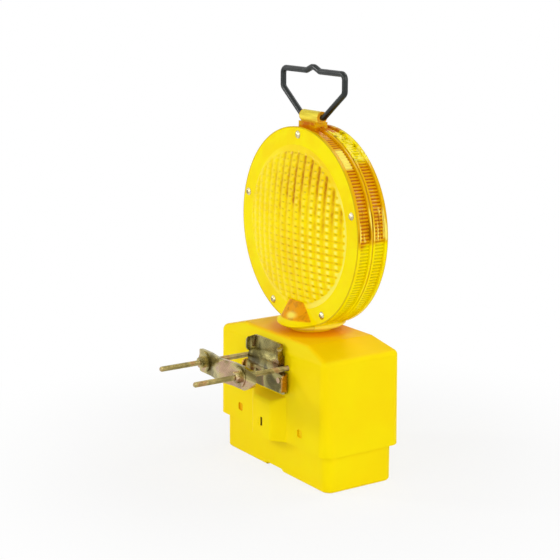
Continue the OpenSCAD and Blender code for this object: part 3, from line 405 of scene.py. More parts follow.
@dataclass(frozen=True)
class CasePlastic(Finish):
    """Moulded yellow plastic of the box and the hood: satin, with a fine spark grain."""

    name: str = "case_yellow"
    recess: Recess = Recess.DIMPLES
    light: Colour = srgb(255, 232, 0)
    deep: Colour = srgb(255, 224, 0)
    painted_roof_shade: Colour = srgb(255, 200, 0)
    glow: Colour = srgb(240, 140, 0)
    scuffed: Colour = srgb(255, 238, 70)
    left_dimple_shade: Colour = srgb(246, 184, 0)
    right_dimple_shade: Colour = srgb(252, 212, 0)
    slot_shade: Colour = srgb(150, 124, 44)
    dimple_x: float = 50 * MM
    dimple_z: float = 49.5 * MM
    dimple_half: float = 4 * MM
    dimple_mouth_y: float = -43.2 * MM
    dimple_floor_y: float = -40.25 * MM
    slot_half: float = 2.2 * MM
    slot_depth: float = 0.4 * MM
    soft: float = 0.2 * MM
    roof_middle: float = 30 * MM
    roof_end: float = 78 * MM
    glow_inner: float = 34 * MM
    glow_outer: float = 46 * MM
    middle_share: float = 0.95
    end_share: float = 0.45
    glow_share: float = 0.6
    scuff_share: float = 0.12
    rough: tuple[float, float] = (0.42, 0.5)
    specular: float = 0.06
    cloud: Grain = Grain(14, 3, 0.55, 0.4)
    streak: Grain = Grain(60, 6, 0.7, 1.2, (1, 1, 5))
    flow: Relief = Relief(Grain(90, 3), 0.12, 0.6 * MM)
    spark: Relief = Relief(Grain(1500), 0.2, 0.12 * MM)

    def recessed(self, g: Graph) -> Socket:
        """1 inside the key slot, or inside the hood's two dimples.

        Args:
            g: The finish's graph.

        Returns:
            The mask.
        """
        x, y, z = g.xyz()
        across = g.size(x)
        if self.recess is Recess.KEY_SLOT:
            face_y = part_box("lock_barrel")[0].y
            return g.times(g.above(y, face_y + self.slot_depth, self.soft),
                           g.below(across, self.slot_half, self.soft))
        off_x = g.size(g.minus(across, self.dimple_x))
        off_z = g.size(g.minus(z, self.dimple_z))
        return g.times(g.below(g.larger(off_x, off_z), self.dimple_half, self.soft),
                       g.above(y, self.dimple_mouth_y, 0.1 * MM),
                       g.below(y, self.dimple_floor_y, 0.25 * MM))

    def shaded(self, g: Graph) -> Shade:
        """Picks the colour inside the recess, as the left dimple lies deeper in shade.

        Args:
            g: The finish's graph.

        Returns:
            The colour.
        """
        if self.recess is Recess.KEY_SLOT:
            return self.slot_shade
        return g.mix(g.above(g.xyz()[0], 0, 1 * MM), self.left_dimple_shade, self.right_dimple_shade)

    def paint(self, g: Graph) -> None:
        """Paints the finish.

        Args:
            g: Its graph.
        """
        x, y, _ = g.xyz()
        g.colour = g.ramp(g.noise(self.cloud), [(0.32, self.deep), (0.68, self.light)])
        # upward faces are painted a shade deeper, most along the roof's middle: painted shade, as
        # the top catches less light
        normal_z = g.xyz(g.node("NewGeometry").outputs["Normal"])[2]
        upward = g.span(normal_z, 0.55, 0.98)
        painted_roof_shade = g.span(g.size(x), self.roof_middle, self.roof_end, self.middle_share,
                      self.end_share)
        g.coat(self.painted_roof_shade, upward, painted_roof_shade)
        # and amber light from the lens lies on the roof round its seat
        from_post = g.hypot(x, g.minus(y, LensHead.mid_y))
        glow = g.span(from_post, self.glow_outer, self.glow_inner, 0, self.glow_share)
        g.coat(self.glow, upward, glow)
        # scuffs: thin pale streaks that come and go
        scuff = g.times(g.span(g.noise(self.streak), 0.66, 0.74), self.scuff_share)
        g.coat(self.scuffed, scuff)
        # painted shade inside the hood's dimples and the lock's key slot
        g.coat(self.shaded(g), self.recessed(g))
        rough = g.plus(g.spread(g.noise(self.flow.grain), *self.rough), scuff)
        g.surface(rough, g.carry(self.flow, self.spark),
                  Specular_IOR_Level=self.specular)


class LensPlaces:
    """Where a point lies on the lens, as values that the amber finish reads."""

    CLOUD = Grain(26, 3, 0.6, 0.6)
    MOTTLE = Grain(150, distortion=0.5)

    def __init__(self, g: Graph) -> None:
        """Works the values out from the object coordinates.

        Args:
            g: The finish's graph.
        """
        self.x, y, self.z = g.xyz()
        self.across = g.size(self.x)
        self.up = g.minus(self.z, LensHead.centre_z)
        self.radius = g.hypot(self.x, self.up)
        self.side = g.minus(y, LensHead.mid_y)
        self.depth = g.size(self.side)
        self.turn = g.math("ARCTAN2", self.up, self.across)
        self.cloud = g.noise(self.CLOUD)
        self.mottle = g.noise(self.MOTTLE)


class AmberZone(Enum):
    """Which part of a lens shell a finish covers."""

    SHELL = "shell"
    OPTIC = "optic"


@dataclass(frozen=True)
class AmberLens(Finish):
    """Clear amber plastic of the lens shells, painted deeper where the walls stand edge on, with
    painted shade and highlights.

    Angles are in radians above the level through the lens's centre.
    """

    name: str = "lens_amber"
    zone: AmberZone = AmberZone.SHELL
    light: Colour = srgb(249, 231, 0)
    warm: Colour = srgb(245, 208, 0)
    deep: Colour = srgb(210, 108, 0)
    brown: Colour = srgb(150, 82, 0)
    bright: Colour = srgb(253, 230, 0)
    olive: Colour = srgb(160, 134, 0)
    pale: Colour = srgb(255, 246, 112)
    low_line: Colour = srgb(232, 164, 0)
    high_line: Colour = srgb(186, 112, 0)
    edge_shade_line: Colour = srgb(186, 146, 0)
    block: Colour = srgb(204, 116, 0)
    tube_line: Colour = srgb(190, 160, 20)
    tube_tip: Colour = srgb(226, 132, 0)
    cone: Colour = srgb(232, 148, 0)
    cone_light: Colour = srgb(255, 240, 96)
    band_low_r: float = 89.6 * MM
    valley_r: float = 90.3 * MM
    ridge_r: float = 91.1 * MM
    face_edge_r: float = 91.9 * MM
    band_high_r: float = 93.4 * MM
    collar_r: float = 93.8 * MM
    band_depth: float = 16.35 * MM
    edge_depth: float = 15.9 * MM
    block_depth: float = 15.65 * MM
    cone_depth: float = 17.1 * MM
    arc_from: float = -0.05
    rear_arc_to: float = 0.78
    highlight_from: float = 0.74
    highlight_to: float = 1.0
    highlight_side: tuple[float, float] = (-11.4 * MM, -3.8 * MM)
    smear_to: float = 0.3
    mottled_from: float = 0.8
    block_half: float = 22.5 * MM
    block_up: float = 87.75 * MM
    tube_drop: float = 4.3 * MM
    tip_inset: float = 0.45 * MM
    cone_z: tuple[float, float] = (144.5 * MM, 162.25 * MM)
    lip_x: float = -11.5 * MM
    spot_at: tuple[float, float] = (4 * MM, 148.8 * MM)
    spot_r: float = 7.5 * MM
    collar_z: float = 142.5 * MM
    ior: float = 1.49
    highlight_share: float = 0.85
    edge_share: float = 0.6
    tube_share: float = 0.5
    tip_share: float = 0.75
    cone_share: float = 0.9
    spot_share: float = 0.8
    collar_share: float = 0.4
    warm_share: float = 0.45
    optic_x: tuple[float, float] = (-50 * MM, 24 * MM)
    optic_far_x: tuple[float, float] = (10 * MM, 38 * MM)
    optic_up: tuple[float, float] = (2 * MM, 46 * MM)
    optic_not_up: tuple[float, float] = (52 * MM, 30 * MM)
    optic_wander: float = 90 * MM
    column_lines: tuple[float, float, float] = (0.07, 0.12, 0.78)
    row_lines: tuple[float, float, float] = (0.05, 0.12, 0.36)
    dots: tuple[float, float] = (0.14, 0.46)
    highlight_spots: tuple[float, float] = (0.06, 0.66)
    optic_cloud: Grain = Grain(24, 3, 0.6, 0.8)
    optic_fleck: Grain = Grain(260, roughness=0.6)
    optic_ripple: Relief = Relief(Grain(300), 0.05, 0.4 * MM)
    optic_rough: float = 0.14
    shell_rough: float = 0.12
    proud_rough: float = 0.42
    smear: Grain = Grain(70, distortion=0.3, squeeze=(0.5, 5, 0.35))
    blot: Grain = Grain(120, distortion=0.6)
    drawn_lines: Grain = Grain(150, squeeze=(0.12, 1, 1))
    ripple: Relief = Relief(Grain(120, 3), 0.08, 0.5 * MM)

    def tone(self, g: Graph, cloud: Socket, fresh: Colour, more: Socket | None = None
             ) -> Socket:
        """Plain amber, warmer where slow noise clouds it over and where more is 1."""
        share = g.span(cloud, 0.42, 0.66, 0, self.warm_share)
        return g.mix(share if more is None else g.larger(share, more), fresh, self.warm)

    def optic(self, g: Graph) -> None:
        """Paints the pressed optic: pillows with darker lines between and a dark dot at each
        corner, as painted shade, and a pale spot on each as painted highlight.

        Args:
            g: The finish's graph.
        """
        x, _, z = g.xyz()
        up = g.minus(z, LensHead.centre_z)
        cloud = g.noise(self.optic_cloud)
        fleck = g.span(g.noise(self.optic_fleck), 0.34, 0.6, 0.65, 1)
        column, row = g.attribute("column"), g.attribute("row")
        wander = g.times(g.minus(cloud, 0.5), self.optic_wander)
        x_wander, up_wander = g.plus(x, wander), g.plus(up, wander)
        right = g.span(x_wander, *self.optic_x)
        high = g.span(up_wander, *self.optic_up)
        lower = g.below(up, 0, 12 * MM)
        # painted shade in the grooves: that between columns is strong to the upper right, that
        # between rows below
        lines = []
        for near, (everywhere, to_right, more), where in (
                (g.span(column, 0.44, 0.92), self.column_lines, high),
                (g.span(row, 0.5, 0.95), self.row_lines, lower)):
            strong = g.times(right, g.grow(to_right, more, where))
            lines.append(g.times(near, g.grow(everywhere, 1, strong)))
        # the optic is painted warmer to the upper right, as the light through it looks deeper there
        g.colour = self.tone(g, cloud, self.bright, g.times(right, high, 0.9))
        g.coat(g.mix(high, self.low_line, self.high_line), fleck, g.larger(*lines))
        # each pillow gets a small dark dot of painted shade below a pale painted highlight, most of
        # all to the right
        middle = g.span(column, 0.5, 0.12)
        dots = g.times(middle, g.span(row, 0.7, 0.95), g.grow(*self.dots, right))
        g.coat(self.olive, fleck, dots)
        far_right = g.times(g.span(x_wander, *self.optic_far_x),
                            g.span(up, *self.optic_not_up))
        highlight_spots = g.times(middle, g.span(row, 0.62, 0.3), g.grow(*self.highlight_spots, far_right))
        g.coat(self.pale, highlight_spots)
        # a faint glow in the optic's own colour is painted light, for the light that passes through
        # the plastic
        g.surface(self.optic_rough, g.carry(self.optic_ripple), IOR=self.ior,
                  Transmission_Weight=0.04, Specular_IOR_Level=0.05,
                  Emission_Color=g.colour, Emission_Strength=0.08)

    def band(self, g: Graph, at: LensPlaces) -> None:
        """Dresses the fluted side band.

        Args:
            g: The finish's graph.
            at: Where the point lies.
        """
        rear = g.above(at.side, 0, 0.5 * MM)
        lean = g.plus(at.turn, g.times(g.minus(at.cloud, 0.5), 0.24))
        band = g.times(g.above(at.radius, self.band_low_r, 0.3 * MM),
                       g.below(at.radius, self.band_high_r, 0.2 * MM),
                       g.below(at.depth, self.band_depth, 0.25 * MM))
        # it is painted deep amber round its upper sides, for the light through the walls seen edge
        # on, more so in its flutes' valleys as painted shade
        arc = g.times(g.above(lean, self.arc_from, 0.04),
                      g.blend(rear, 1.0, g.below(lean, self.rear_arc_to, 0.06)))
        deep = g.times(arc, band)
        valley = g.span(at.radius, self.ridge_r, self.valley_r, 0.55, 1)
        g.coat(self.deep, deep, valley)
        # flutes elsewhere are only a shade darker in their valleys, as painted shade
        valley = g.span(at.radius, self.ridge_r, self.valley_r, 0, 0.5)
        g.coat(self.olive, band, g.minus(1, arc), valley)
        # painted shade browns the cores of the deep valleys
        core = g.span(at.radius, self.ridge_r - 0.2 * MM, self.valley_r - 0.1 * MM, 0, 0.65)
        g.coat(self.brown, deep, core)
        # a painted highlight: one long pale streak, a soft box's reflection, lies along the upper
        # front band
        front, back = self.highlight_side
        streak = g.times(g.above(at.turn, self.highlight_from, 0.02),
                         g.below(at.turn, self.highlight_to, 0.02),
                         g.below(at.side, back, 0.4 * MM),
                         g.above(at.side, front, 0.4 * MM))
        g.coat(self.pale, band, streak, self.highlight_share)
        # lower down the light smears along the band, and the rear band's top is mottled
        smear = g.noise(self.smear)
        smeared = g.times(band, g.above(at.turn, 0, 0.02),
                          g.below(at.turn, self.smear_to, 0.04))
        g.coat(self.pale, smeared, g.span(smear, 0.52, 0.6, 0, 0.8))
        g.coat(self.brown, smeared, g.span(smear, 0.46, 0.38, 0, 0.7))
        top = g.times(band, rear, g.above(lean, self.mottled_from, 0.06))
        g.coat(self.pale, top, g.span(at.mottle, 0.5, 0.6, 0, 0.6))
        g.coat(self.olive, top, g.span(at.mottle, 0.44, 0.34, 0, 0.8))
        # a fine deeper line of painted shade, where the edge bends the light away, runs round the
        # edge of each face
        g.coat(self.edge_shade_line, g.above(at.radius, self.face_edge_r, 0.4 * MM),
               g.above(at.depth, self.edge_depth, 0.3 * MM), self.edge_share)

    def hinge(self, g: Graph, at: LensPlaces) -> None:
        """Dresses the hinge tube and the block under it.

        Args:
            g: The finish's graph.
            at: Where the point lies.
        """
        near = g.times(g.below(at.across, self.block_half, 3.5 * MM),
                       g.above(at.up, self.block_up, 0.75 * MM))
        over_foot = g.above(at.z, LensHead.ear_z - self.tube_drop, 0.5 * MM)
        # the block is mottled, and so is the band beside it
        blot = g.span(g.noise(self.blot), 0.4, 0.6, 0.6, 1)
        block = g.times(near, g.minus(1, over_foot),
                        g.below(at.depth, self.block_depth, 0.65 * MM))
        g.coat(self.block, block, blot)
        # the tube is pale, with lines along it and deeper tips
        tube = g.times(over_foot, near)
        line = g.span(g.noise(self.drawn_lines), 0.45, 0.6)
        g.coat(self.pale, tube, self.tube_share)
        g.coat(self.tube_line, tube, line, self.tube_share)
        tip = g.above(at.across, LensHead.ear_half - self.tip_inset, 0.25 * MM)
        g.coat(self.tube_tip, tube, tip, self.tip_share)

    def foot(self, g: Graph, at: LensPlaces, proud: Socket) -> None:
        """Dresses the foot's cone and the collar below it.

        Args:
            g: The finish's graph.
            at: Where the point lies.
            proud: Where the surface stands out of the lens's faces.
        """
        # the cone is orange within, with a pale lip to one side
        low, high = self.cone_z
        cone = g.times(proud, g.below(at.z, high, 0.75 * MM), g.above(at.z, low, 1 * MM))
        inner = g.above(g.plus(at.x, g.times(at.cloud, 6 * MM)), self.lip_x, 2.5 * MM)
        g.coat(self.cone, cone, inner, self.cone_share)
        g.coat(self.brown, cone, inner, g.span(at.mottle, 0.52, 0.36, 0, 0.36))
        # light gathers low in the thick of the cone, in a flat oval
        spot_x, spot_z = self.spot_at
        reach = g.hypot(g.times(g.minus(at.z, spot_z), 2), g.minus(at.x, spot_x))
        spot = g.below(g.plus(reach, g.times(at.cloud, 4 * MM)), self.spot_r, 3.5 * MM)
        g.coat(self.cone_light, proud, spot, self.spot_share)
        g.coat(self.pale, g.below(at.z, self.collar_z, 1 * MM),
               g.above(at.radius, self.collar_r, 0.2 * MM), self.collar_share)

    def paint(self, g: Graph) -> None:
        """Paints the finish.

        Args:
            g: Its graph.
        """
        if self.zone is AmberZone.OPTIC:
            self.optic(g)
        else:
            self.shell(g)

    def shell(self, g: Graph) -> None:
        """Paints a shell, from its band up to its hinge and down to its foot.

        Args:
            g: The finish's graph.
        """
        at = LensPlaces(g)
        proud = g.above(at.depth, self.cone_depth, 0.3 * MM)
        g.colour = self.tone(g, at.cloud, self.light)
        self.band(g, at)
        self.hinge(g, at)
        self.foot(g, at, proud)
        rough = g.span(proud, 0, 1, self.shell_rough, self.proud_rough)
        # a faint glow in the shell's own colour is painted light, for the light that passes through
        # the plastic
        g.surface(rough, g.carry(self.ripple), IOR=self.ior,
                  Transmission_Weight=0.08, Specular_IOR_Level=0.035,
                  Emission_Color=g.colour, Emission_Strength=0.1)


@dataclass(frozen=True)
class PassivatedZinc(Finish):
    """Zinc plate with a yellow passivation that shifts between olive, brass and pink."""

    name: str = "zinc_gold"
    scale: float = 30
    rough: float = 0.24
    olive: Colour = srgb(136, 126, 78)
    brass: Colour = srgb(196, 182, 124)
    pink: Colour = srgb(190, 158, 132)
    dark: Colour = srgb(98, 84, 50)
    case_reflection: Colour = srgb(206, 144, 54)
    reflection_from: float | None = None
    speck: Grain = Grain(420, 3, 0.6)
    speck_share: float = 0.25
    case_reflection_share: float = 0.7
    brush: Relief = Relief(Grain(900, 3, 0.6, squeeze=(1, 0.15, 1)), 0.12, 0.15 * MM)
    ripple: Relief = Relief(Grain(160), 0.15, 0.4 * MM)

    def paint(self, g: Graph) -> None:
        """Paints the finish.

        Args:
            g: Its graph.
        """
        swirl = g.noise(Grain(self.scale, 3, distortion=1.1))
        g.colour = g.ramp(swirl, [(0.28, self.dark), (0.42, self.olive),
                                  (0.52, self.brass), (0.6, self.pink), (0.72, self.olive)])
        g.coat(self.dark, g.span(g.noise(self.speck), 0.62, 0.7), self.speck_share)
        if self.reflection_from is not None:
            # the ends past the given limit along X are painted warm, a painted reflection of the
            # yellow case that they mirror
            ends = g.above(g.size(g.xyz()[0]), self.reflection_from, 1 * MM)
            g.coat(self.case_reflection, ends, self.case_reflection_share)
        rough = g.spread(g.noise(self.brush.grain), self.rough - 0.08, self.rough + 0.12)
        g.surface(rough, g.carry(self.brush, self.ripple), Metallic=1.0)


@dataclass(frozen=True)
class BrightMetal(Finish):
    """Bright plated or drawn metal."""

    light: Colour
    dark: Colour
    rough: float = 0.25
    cloud: Grain = Grain(220, 3, 0.6)
    fine: Relief = Relief(Grain(1400), 0.1, 0.1 * MM)

    def paint(self, g: Graph) -> None:
        """Paints the finish.

        Args:
            g: Its graph.
        """
        g.colour = g.ramp(g.noise(self.cloud), [(0.35, self.dark), (0.62, self.light)])
        rough = g.spread(g.noise(self.fine.grain), self.rough - 0.06, self.rough + 0.1)
        g.surface(rough, g.carry(self.fine), Metallic=1.0)


@dataclass(frozen=True)
class HandleCoat(Finish):
    """Black dipped coating of the bail, with slow ripples and a soft sheen."""

    name: str = "handle_coat"
    black: Colour = srgb(10, 16, 14)
    sheen: Colour = srgb(26, 33, 30)
    rough: tuple[float, float] = (0.26, 0.36)
    specular: float = 0.4
    cloud: Grain = Grain(60, 3)
    ripple: Relief = Relief(Grain(130, roughness=0.4), 0.25, 0.6 * MM)
    pores: Relief = Relief(Grain(1200), 0.1, 0.1 * MM)

    def paint(self, g: Graph) -> None:
        """Paints the finish.

        Args:
            g: Its graph.
        """
        cloud = g.noise(self.cloud)
        g.colour = g.ramp(cloud, [(0.35, self.black), (0.65, self.sheen)])
        g.surface(g.spread(cloud, *self.rough), g.carry(self.ripple, self.pores),
                  Specular_IOR_Level=self.specular)


@dataclass(frozen=True)
class MouldedPart(Finish):
    """Plain moulded plastic or rubber in one tone, with mould texture."""

    tone: Colour
    shade: Colour
    rough: float = 0.5
    cloud: Grain = Grain(45, 4, 0.6, 0.3)
    texture: Relief = Relief(Grain(900, 3), 0.2, 0.2 * MM)

    def paint(self, g: Graph) -> None:
        """Paints the finish.

        Args:
            g: Its graph.
        """
        cloud = g.noise(self.cloud)
        g.colour = g.ramp(cloud, [(0.35, self.shade), (0.65, self.tone)])
        rough = g.spread(cloud, self.rough - 0.06, self.rough + 0.06)
        g.surface(rough, g.carry(self.texture))


@dataclass(frozen=True)
class BatteryJacket(Finish):
    """Lacquered steel jacket with a pale lid and a band round its foot."""

    name: str = "battery_jacket"
    lid_z: float = 97.2 * MM
    foot_z: float = 14 * MM
    body: tuple[Colour, Colour] = (srgb(52, 66, 84), srgb(66, 82, 102))
    foot: tuple[Colour, Colour] = (srgb(196, 150, 40), srgb(214, 170, 58))
    lid: tuple[Colour, Colour] = (srgb(150, 152, 154), srgb(178, 180, 180))
    rough: tuple[float, float] = (0.28, 0.4)
    metallic: float = 0.35
    cloud: Grain = Grain(40, 3)
    texture: Relief = Relief(Grain(700, 3), 0.1, 0.2 * MM)

    def paint(self, g: Graph) -> None:
        """Paints the finish.

        Args:
            g: Its graph.
        """
        z = g.xyz()[2]
        cloud = g.noise(self.cloud)
        body, g.colour, lid = (g.ramp(cloud, [(g.NOISE_LOW, dark), (g.NOISE_HIGH, light)])
                               for dark, light in (self.body, self.foot, self.lid))
        g.coat(body, g.span(z, self.foot_z, self.foot_z + 0.4 * MM))
        g.coat(lid, g.span(z, self.lid_z, self.lid_z + 0.3 * MM))
        g.surface(g.spread(cloud, *self.rough), g.carry(self.texture),
                  Metallic=self.metallic)


@dataclass(frozen=True)
class BoardMask(Finish):
    """Green solder mask with the pale lines of the copper tracks under it."""

    name: str = "board_mask"
    blocks_a_metre: float = 65
    track_share: float = 0.06
    mask: Colour = srgb(18, 92, 48)
    mask_light: Colour = srgb(22, 104, 54)
    track: Colour = srgb(52, 146, 78)
    rough: tuple[float, float] = (0.3, 0.42)
    sheen: Grain = Grain(500, 3)

    def paint(self, g: Graph) -> None:
        """Paints the finish.

        Args:
            g: Its graph.
        """
        bricks = g.node("TexBrick", {
            "Vector": g.coords(), "Scale": self.blocks_a_metre,
            "Mortar Size": self.track_share, "Color1": self.mask,
            "Color2": self.mask_light, "Mortar": self.track})
        g.colour = bricks.outputs["Color"]
        g.surface(g.spread(g.noise(self.sheen), *self.rough),
                  g.bump(bricks.outputs["Fac"], 0.2, 0.1 * MM))


@dataclass(frozen=True)
class BulbGlass(Finish):
    """Clear bulb glass over a pressed metal base, with a faint smoky tint inside."""

    name: str = "bulb_glass"
    base_z: float = 0.0
    dull: Colour = srgb(150, 140, 110)
    bright: Colour = srgb(200, 190, 150)
    smoke: Colour = srgb(236, 236, 228)
    rough: tuple[float, float] = (0.03, 0.08)
    clear: float = 0.9
    ior: float = 1.5
    cloud: Grain = Grain(200, 3)

    def paint(self, g: Graph) -> None:
        """Paints the finish.

        Args:
            g: Its graph.
        """
        glass = g.span(g.xyz()[2], self.base_z, self.base_z + 0.3 * MM)
        cloud = g.noise(self.cloud)
        g.colour = g.ramp(cloud, [(g.NOISE_LOW, self.dull), (g.NOISE_HIGH, self.bright)])
        g.coat(self.smoke, glass)
        g.surface(g.spread(cloud, *self.rough), IOR=self.ior,
                  Transmission_Weight=g.times(glass, self.clear))


# ---------------------------------------------------------------- mesh helpers


def mesh_object(name: str, points: np.ndarray, faces: Faces, smooth: bool = True
                ) -> bpy.types.Object:
    """Makes an object from points and faces and puts it in the scene.

    Args:
        name: The object's name.
        points: One row of x, y, z a point, in metres.
        faces: Point indices of each face.
        smooth: Whether faces are shaded smooth.

    Returns:
        The new object.
    """
    mesh = bpy.data.meshes.new(name)
    mesh.from_pydata([tuple(p) for p in points], [], [tuple(f) for f in faces])
    mesh.validate()
    mesh.update()
    made = bpy.data.objects.new(name, mesh)
    bpy.context.scene.collection.objects.link(made)
    if smooth:
        mesh.shade_smooth()
    return made


def store(obj: bpy.types.Object, name: str, values: np.ndarray) -> None:
    """Stores one value a point on a mesh, for its material to read."""
    layer = obj.data.attributes.new(name, "FLOAT", "POINT")
    layer.data.foreach_set("value", np.asarray(values, np.float32))


def dress(finish: Finish, *nodes: str, crisp: float = 32) -> None:
    """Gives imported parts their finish, shaded smooth except at their crisp edges.

    Args:
        finish: The finish that they share.
        nodes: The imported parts' names.
        crisp: Least angle of an edge that stays crisp, in degrees.
    """
    material = finish.make()
    for node in nodes:
        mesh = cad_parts[node].data
        mesh.materials.clear()
        mesh.materials.append(material)
        mesh.shade_smooth()
        mesh.set_sharp_from_angle(angle=math.radians(crisp))
        LOG.info("dressed %s", node)


# ---------------------------------------------------------------- sub-assemblies


@dataclass
class Case:
    """The battery box and the hood that covers it, with their seal and lock."""

    crisp: float = 40

    def build(self) -> None:
        """Dresses the moulded case, its seal and its lock."""
        dress(CasePlastic(), "battery_box", "hood", crisp=self.crisp)
        dress(CasePlastic("lock_yellow", Recess.KEY_SLOT), "lock_barrel", crisp=self.crisp)
        dress(MouldedPart("seal_rubber", srgb(40, 40, 40), srgb(26, 26, 26), rough=0.7),
              "rim_seal")
        dress(PassivatedZinc("zinc_gold_lock", scale=110, rough=0.3),
              "latch_keeper", "lock_cam", "lock_retainer")
        dress(BrightMetal("zinc_bright", srgb(206, 204, 196), srgb(150, 148, 140)),
              "keeper_rivets", "cam_screw", "retainer_screws", "board_screws")


@dataclass
class Power:
    """Batteries, contacts, board and switch inside the case."""

    spring_crisp: float = 75

    def build(self) -> None:
        """Dresses the batteries and the electrics."""
        dress(BatteryJacket(), "battery_left", "battery_right")
        dress(BrightMetal("spring_wire", srgb(214, 212, 206), srgb(160, 158, 150)),
              "battery_springs", crisp=self.spring_crisp)
        dress(BrightMetal("strip_brass", srgb(214, 180, 96), srgb(168, 132, 60), rough=0.3),
              "contact_strips")
        dress(BoardMask(), "circuit_board")
        dress(MouldedPart("part_black", srgb(44, 44, 46), srgb(26, 26, 28), rough=0.42),
              "flasher_parts")
        dress(MouldedPart("switch_body", srgb(48, 48, 50), srgb(30, 30, 32)), "mode_switch")
        dress(MouldedPart("switch_slider", srgb(226, 226, 220), srgb(204, 204, 198),
                          rough=0.35), "switch_slider")
        dress(MouldedPart("wire_red", srgb(176, 24, 20), srgb(132, 16, 14), rough=0.4),
              "lamp_wires")


class Side(Enum):
    """The two faces of the lens, by which way each looks along Y."""

    FRONT = -1
    REAR = 1


@dataclass
class LensHead:
    """The swivelling lens: two amber shells, their gasket, screws, and the lamp inside.

    Each optic is a field of pillows over a smooth dome. Its columns and rows are counted
    from the lens's centre, and the pattern fades at an oval a little short of its rim.
    """

    centre_z: float = 230.4 * MM
    mid_y: float = 4.4 * MM
    ear_z: float = 331.9 * MM
    ear_half: float = 14.5 * MM
    half: float = 16.6 * MM
    optic_r: float = 76.2 * MM
    pattern_r: float = 71.4 * MM
    pattern_fade: float = 1.6 * MM
    dome_h: float = 9 * MM
    dome_base_r: float = 76.6 * MM
    lift: float = 0.15 * MM
    sink: float = 0.5 * MM
    least_t: float = 0.2 * MM
    cone_foot: tuple[float, float] = (-86.9 * MM, 29.5 * MM)
    cone_top: tuple[float, float] = (-69.3 * MM, 20.2 * MM)
    cone_gap: float = 0.3 * MM
    cell_w: float = 10.8 * MM
    cell_h: float = 6.6 * MM
    bulge: float = 1.4 * MM
    crown: float = 2.2
    column_share: float = 0.35
    steps: int = 9
    bulb_base_h: float = 0.8 * MM
    shell_crisp: float = 24
    optic_crisp: float = 65

    def dome(self, radius: np.ndarray) -> np.ndarray:
        """Height of the smooth dome at distances from the lens's centre, 0 outside it."""
        ball = (self.dome_base_r ** 2 + self.dome_h ** 2) / (2 * self.dome_h)
        return np.sqrt(ball ** 2 - np.minimum(radius, self.dome_base_r) ** 2) - (ball - self.dome_h)

    def cone_limit(self, x: np.ndarray, up: np.ndarray) -> np.ndarray:
        """Greatest height at which the optic still lies behind the foot's cone.

        Args:
            x: Places along X.
            up: The same places above the lens's centre.

        Returns:
            The height at each place, and a metre where no cone stands.
        """
        (low, foot_r), (top, top_r) = self.cone_foot, self.cone_top
        share = np.clip((up - low) / (top - low), 0, 1)
        reach = np.sqrt(np.maximum((foot_r + (top_r - foot_r) * share) ** 2 - x ** 2, 0))
        behind = (up < top) & (reach > self.half)
        return np.where(behind, reach - self.half - self.cone_gap, 1)

    def grid(self) -> tuple[np.ndarray, np.ndarray]:
        """Spreads a grid over the optic, several steps to each pillow.

        Returns:
            Each point's place along X, and its height above the lens's centre.
        """
        axes = []
        for cell in (self.cell_w, self.cell_h):
            step = cell / self.steps
            reach = math.ceil(self.optic_r / step)
            axes.append((np.arange(2 * reach + 1) - reach) * step)
        return tuple(np.meshgrid(*axes, indexing="ij"))

    def relief(self, x: np.ndarray, up: np.ndarray
               ) -> tuple[np.ndarray, np.ndarray, np.ndarray]:
        """Works out the pillows.

        Args:
            x: Places along X.
            up: The same places above the lens's centre.

        Returns:
            How far each place is raised, and how near it is to an edge between columns
            and to one between rows, from 0 to 1.
        """
        column, row = (2 * np.abs((place / cell + 0.5) % 1 - 0.5)
                       for place, cell in ((x, self.cell_w), (up, self.cell_h)))
        ridge, crown = (np.clip(1 - edge ** self.crown, 0, 1) for edge in (column, row))
        pillow = ridge * (self.column_share + (1 - self.column_share) * crown)
        oval = np.hypot(x, up * self.optic_r / self.pattern_r)
        fade = np.clip((self.optic_r - oval) / self.pattern_fade, 0, 1)
        return self.bulge * pillow * fade, column * fade, row * fade

    def skin(self, keep: np.ndarray, index: np.ndarray, count: int, side: Side) -> Faces:
        """Joins an outer and an inner layer of points into one closed skin.

        Args:
            keep: Which cells of the grid have a face.
            index: Each grid point's index in the outer layer.
            count: How many points a layer has.
            side: Which way the outer layer looks.

        Returns:
            The faces of both layers and of the rim between them.
        """
        faces: Faces = []
        borders: dict[tuple[int, int], None] = {}
        for i, j in zip(*np.nonzero(keep)):
            ring = (index[i, j], index[i + 1, j], index[i + 1, j + 1], index[i, j + 1])
            if side is Side.REAR:
                ring = ring[::-1]
            faces.append(ring)
            faces.append(tuple(k + count for k in ring[::-1]))
            for a, b in zip(ring, ring[1:] + ring[:1]):
                if (b, a) in borders:
                    del borders[(b, a)]
                else:
                    borders[(a, b)] = None
        return faces + [(b, a, a + count, b + count) for a, b in borders]

    def optic(self, name: str, side: Side) -> bpy.types.Object:
        """Builds the pressed optic: pillows in columns over one dome.

        Args:
            name: The piece's name.
            side: Which face of the lens it is on.

        Returns:
            The piece, a closed skin that is sunk a little into the dome under it.
        """
        x, up = self.grid()
        radius = np.hypot(x, up)
        inside = radius <= self.optic_r
        raised, column, row = self.relief(x, up)
        keep = inside[:-1, :-1] | inside[1:, :-1] | inside[:-1, 1:] | inside[1:, 1:]
        used = np.zeros(x.shape, bool)
        nx, nz = keep.shape
        for i, j in ((0, 0), (1, 0), (0, 1), (1, 1)):
            used[i:nx + i, j:nz + j] |= keep
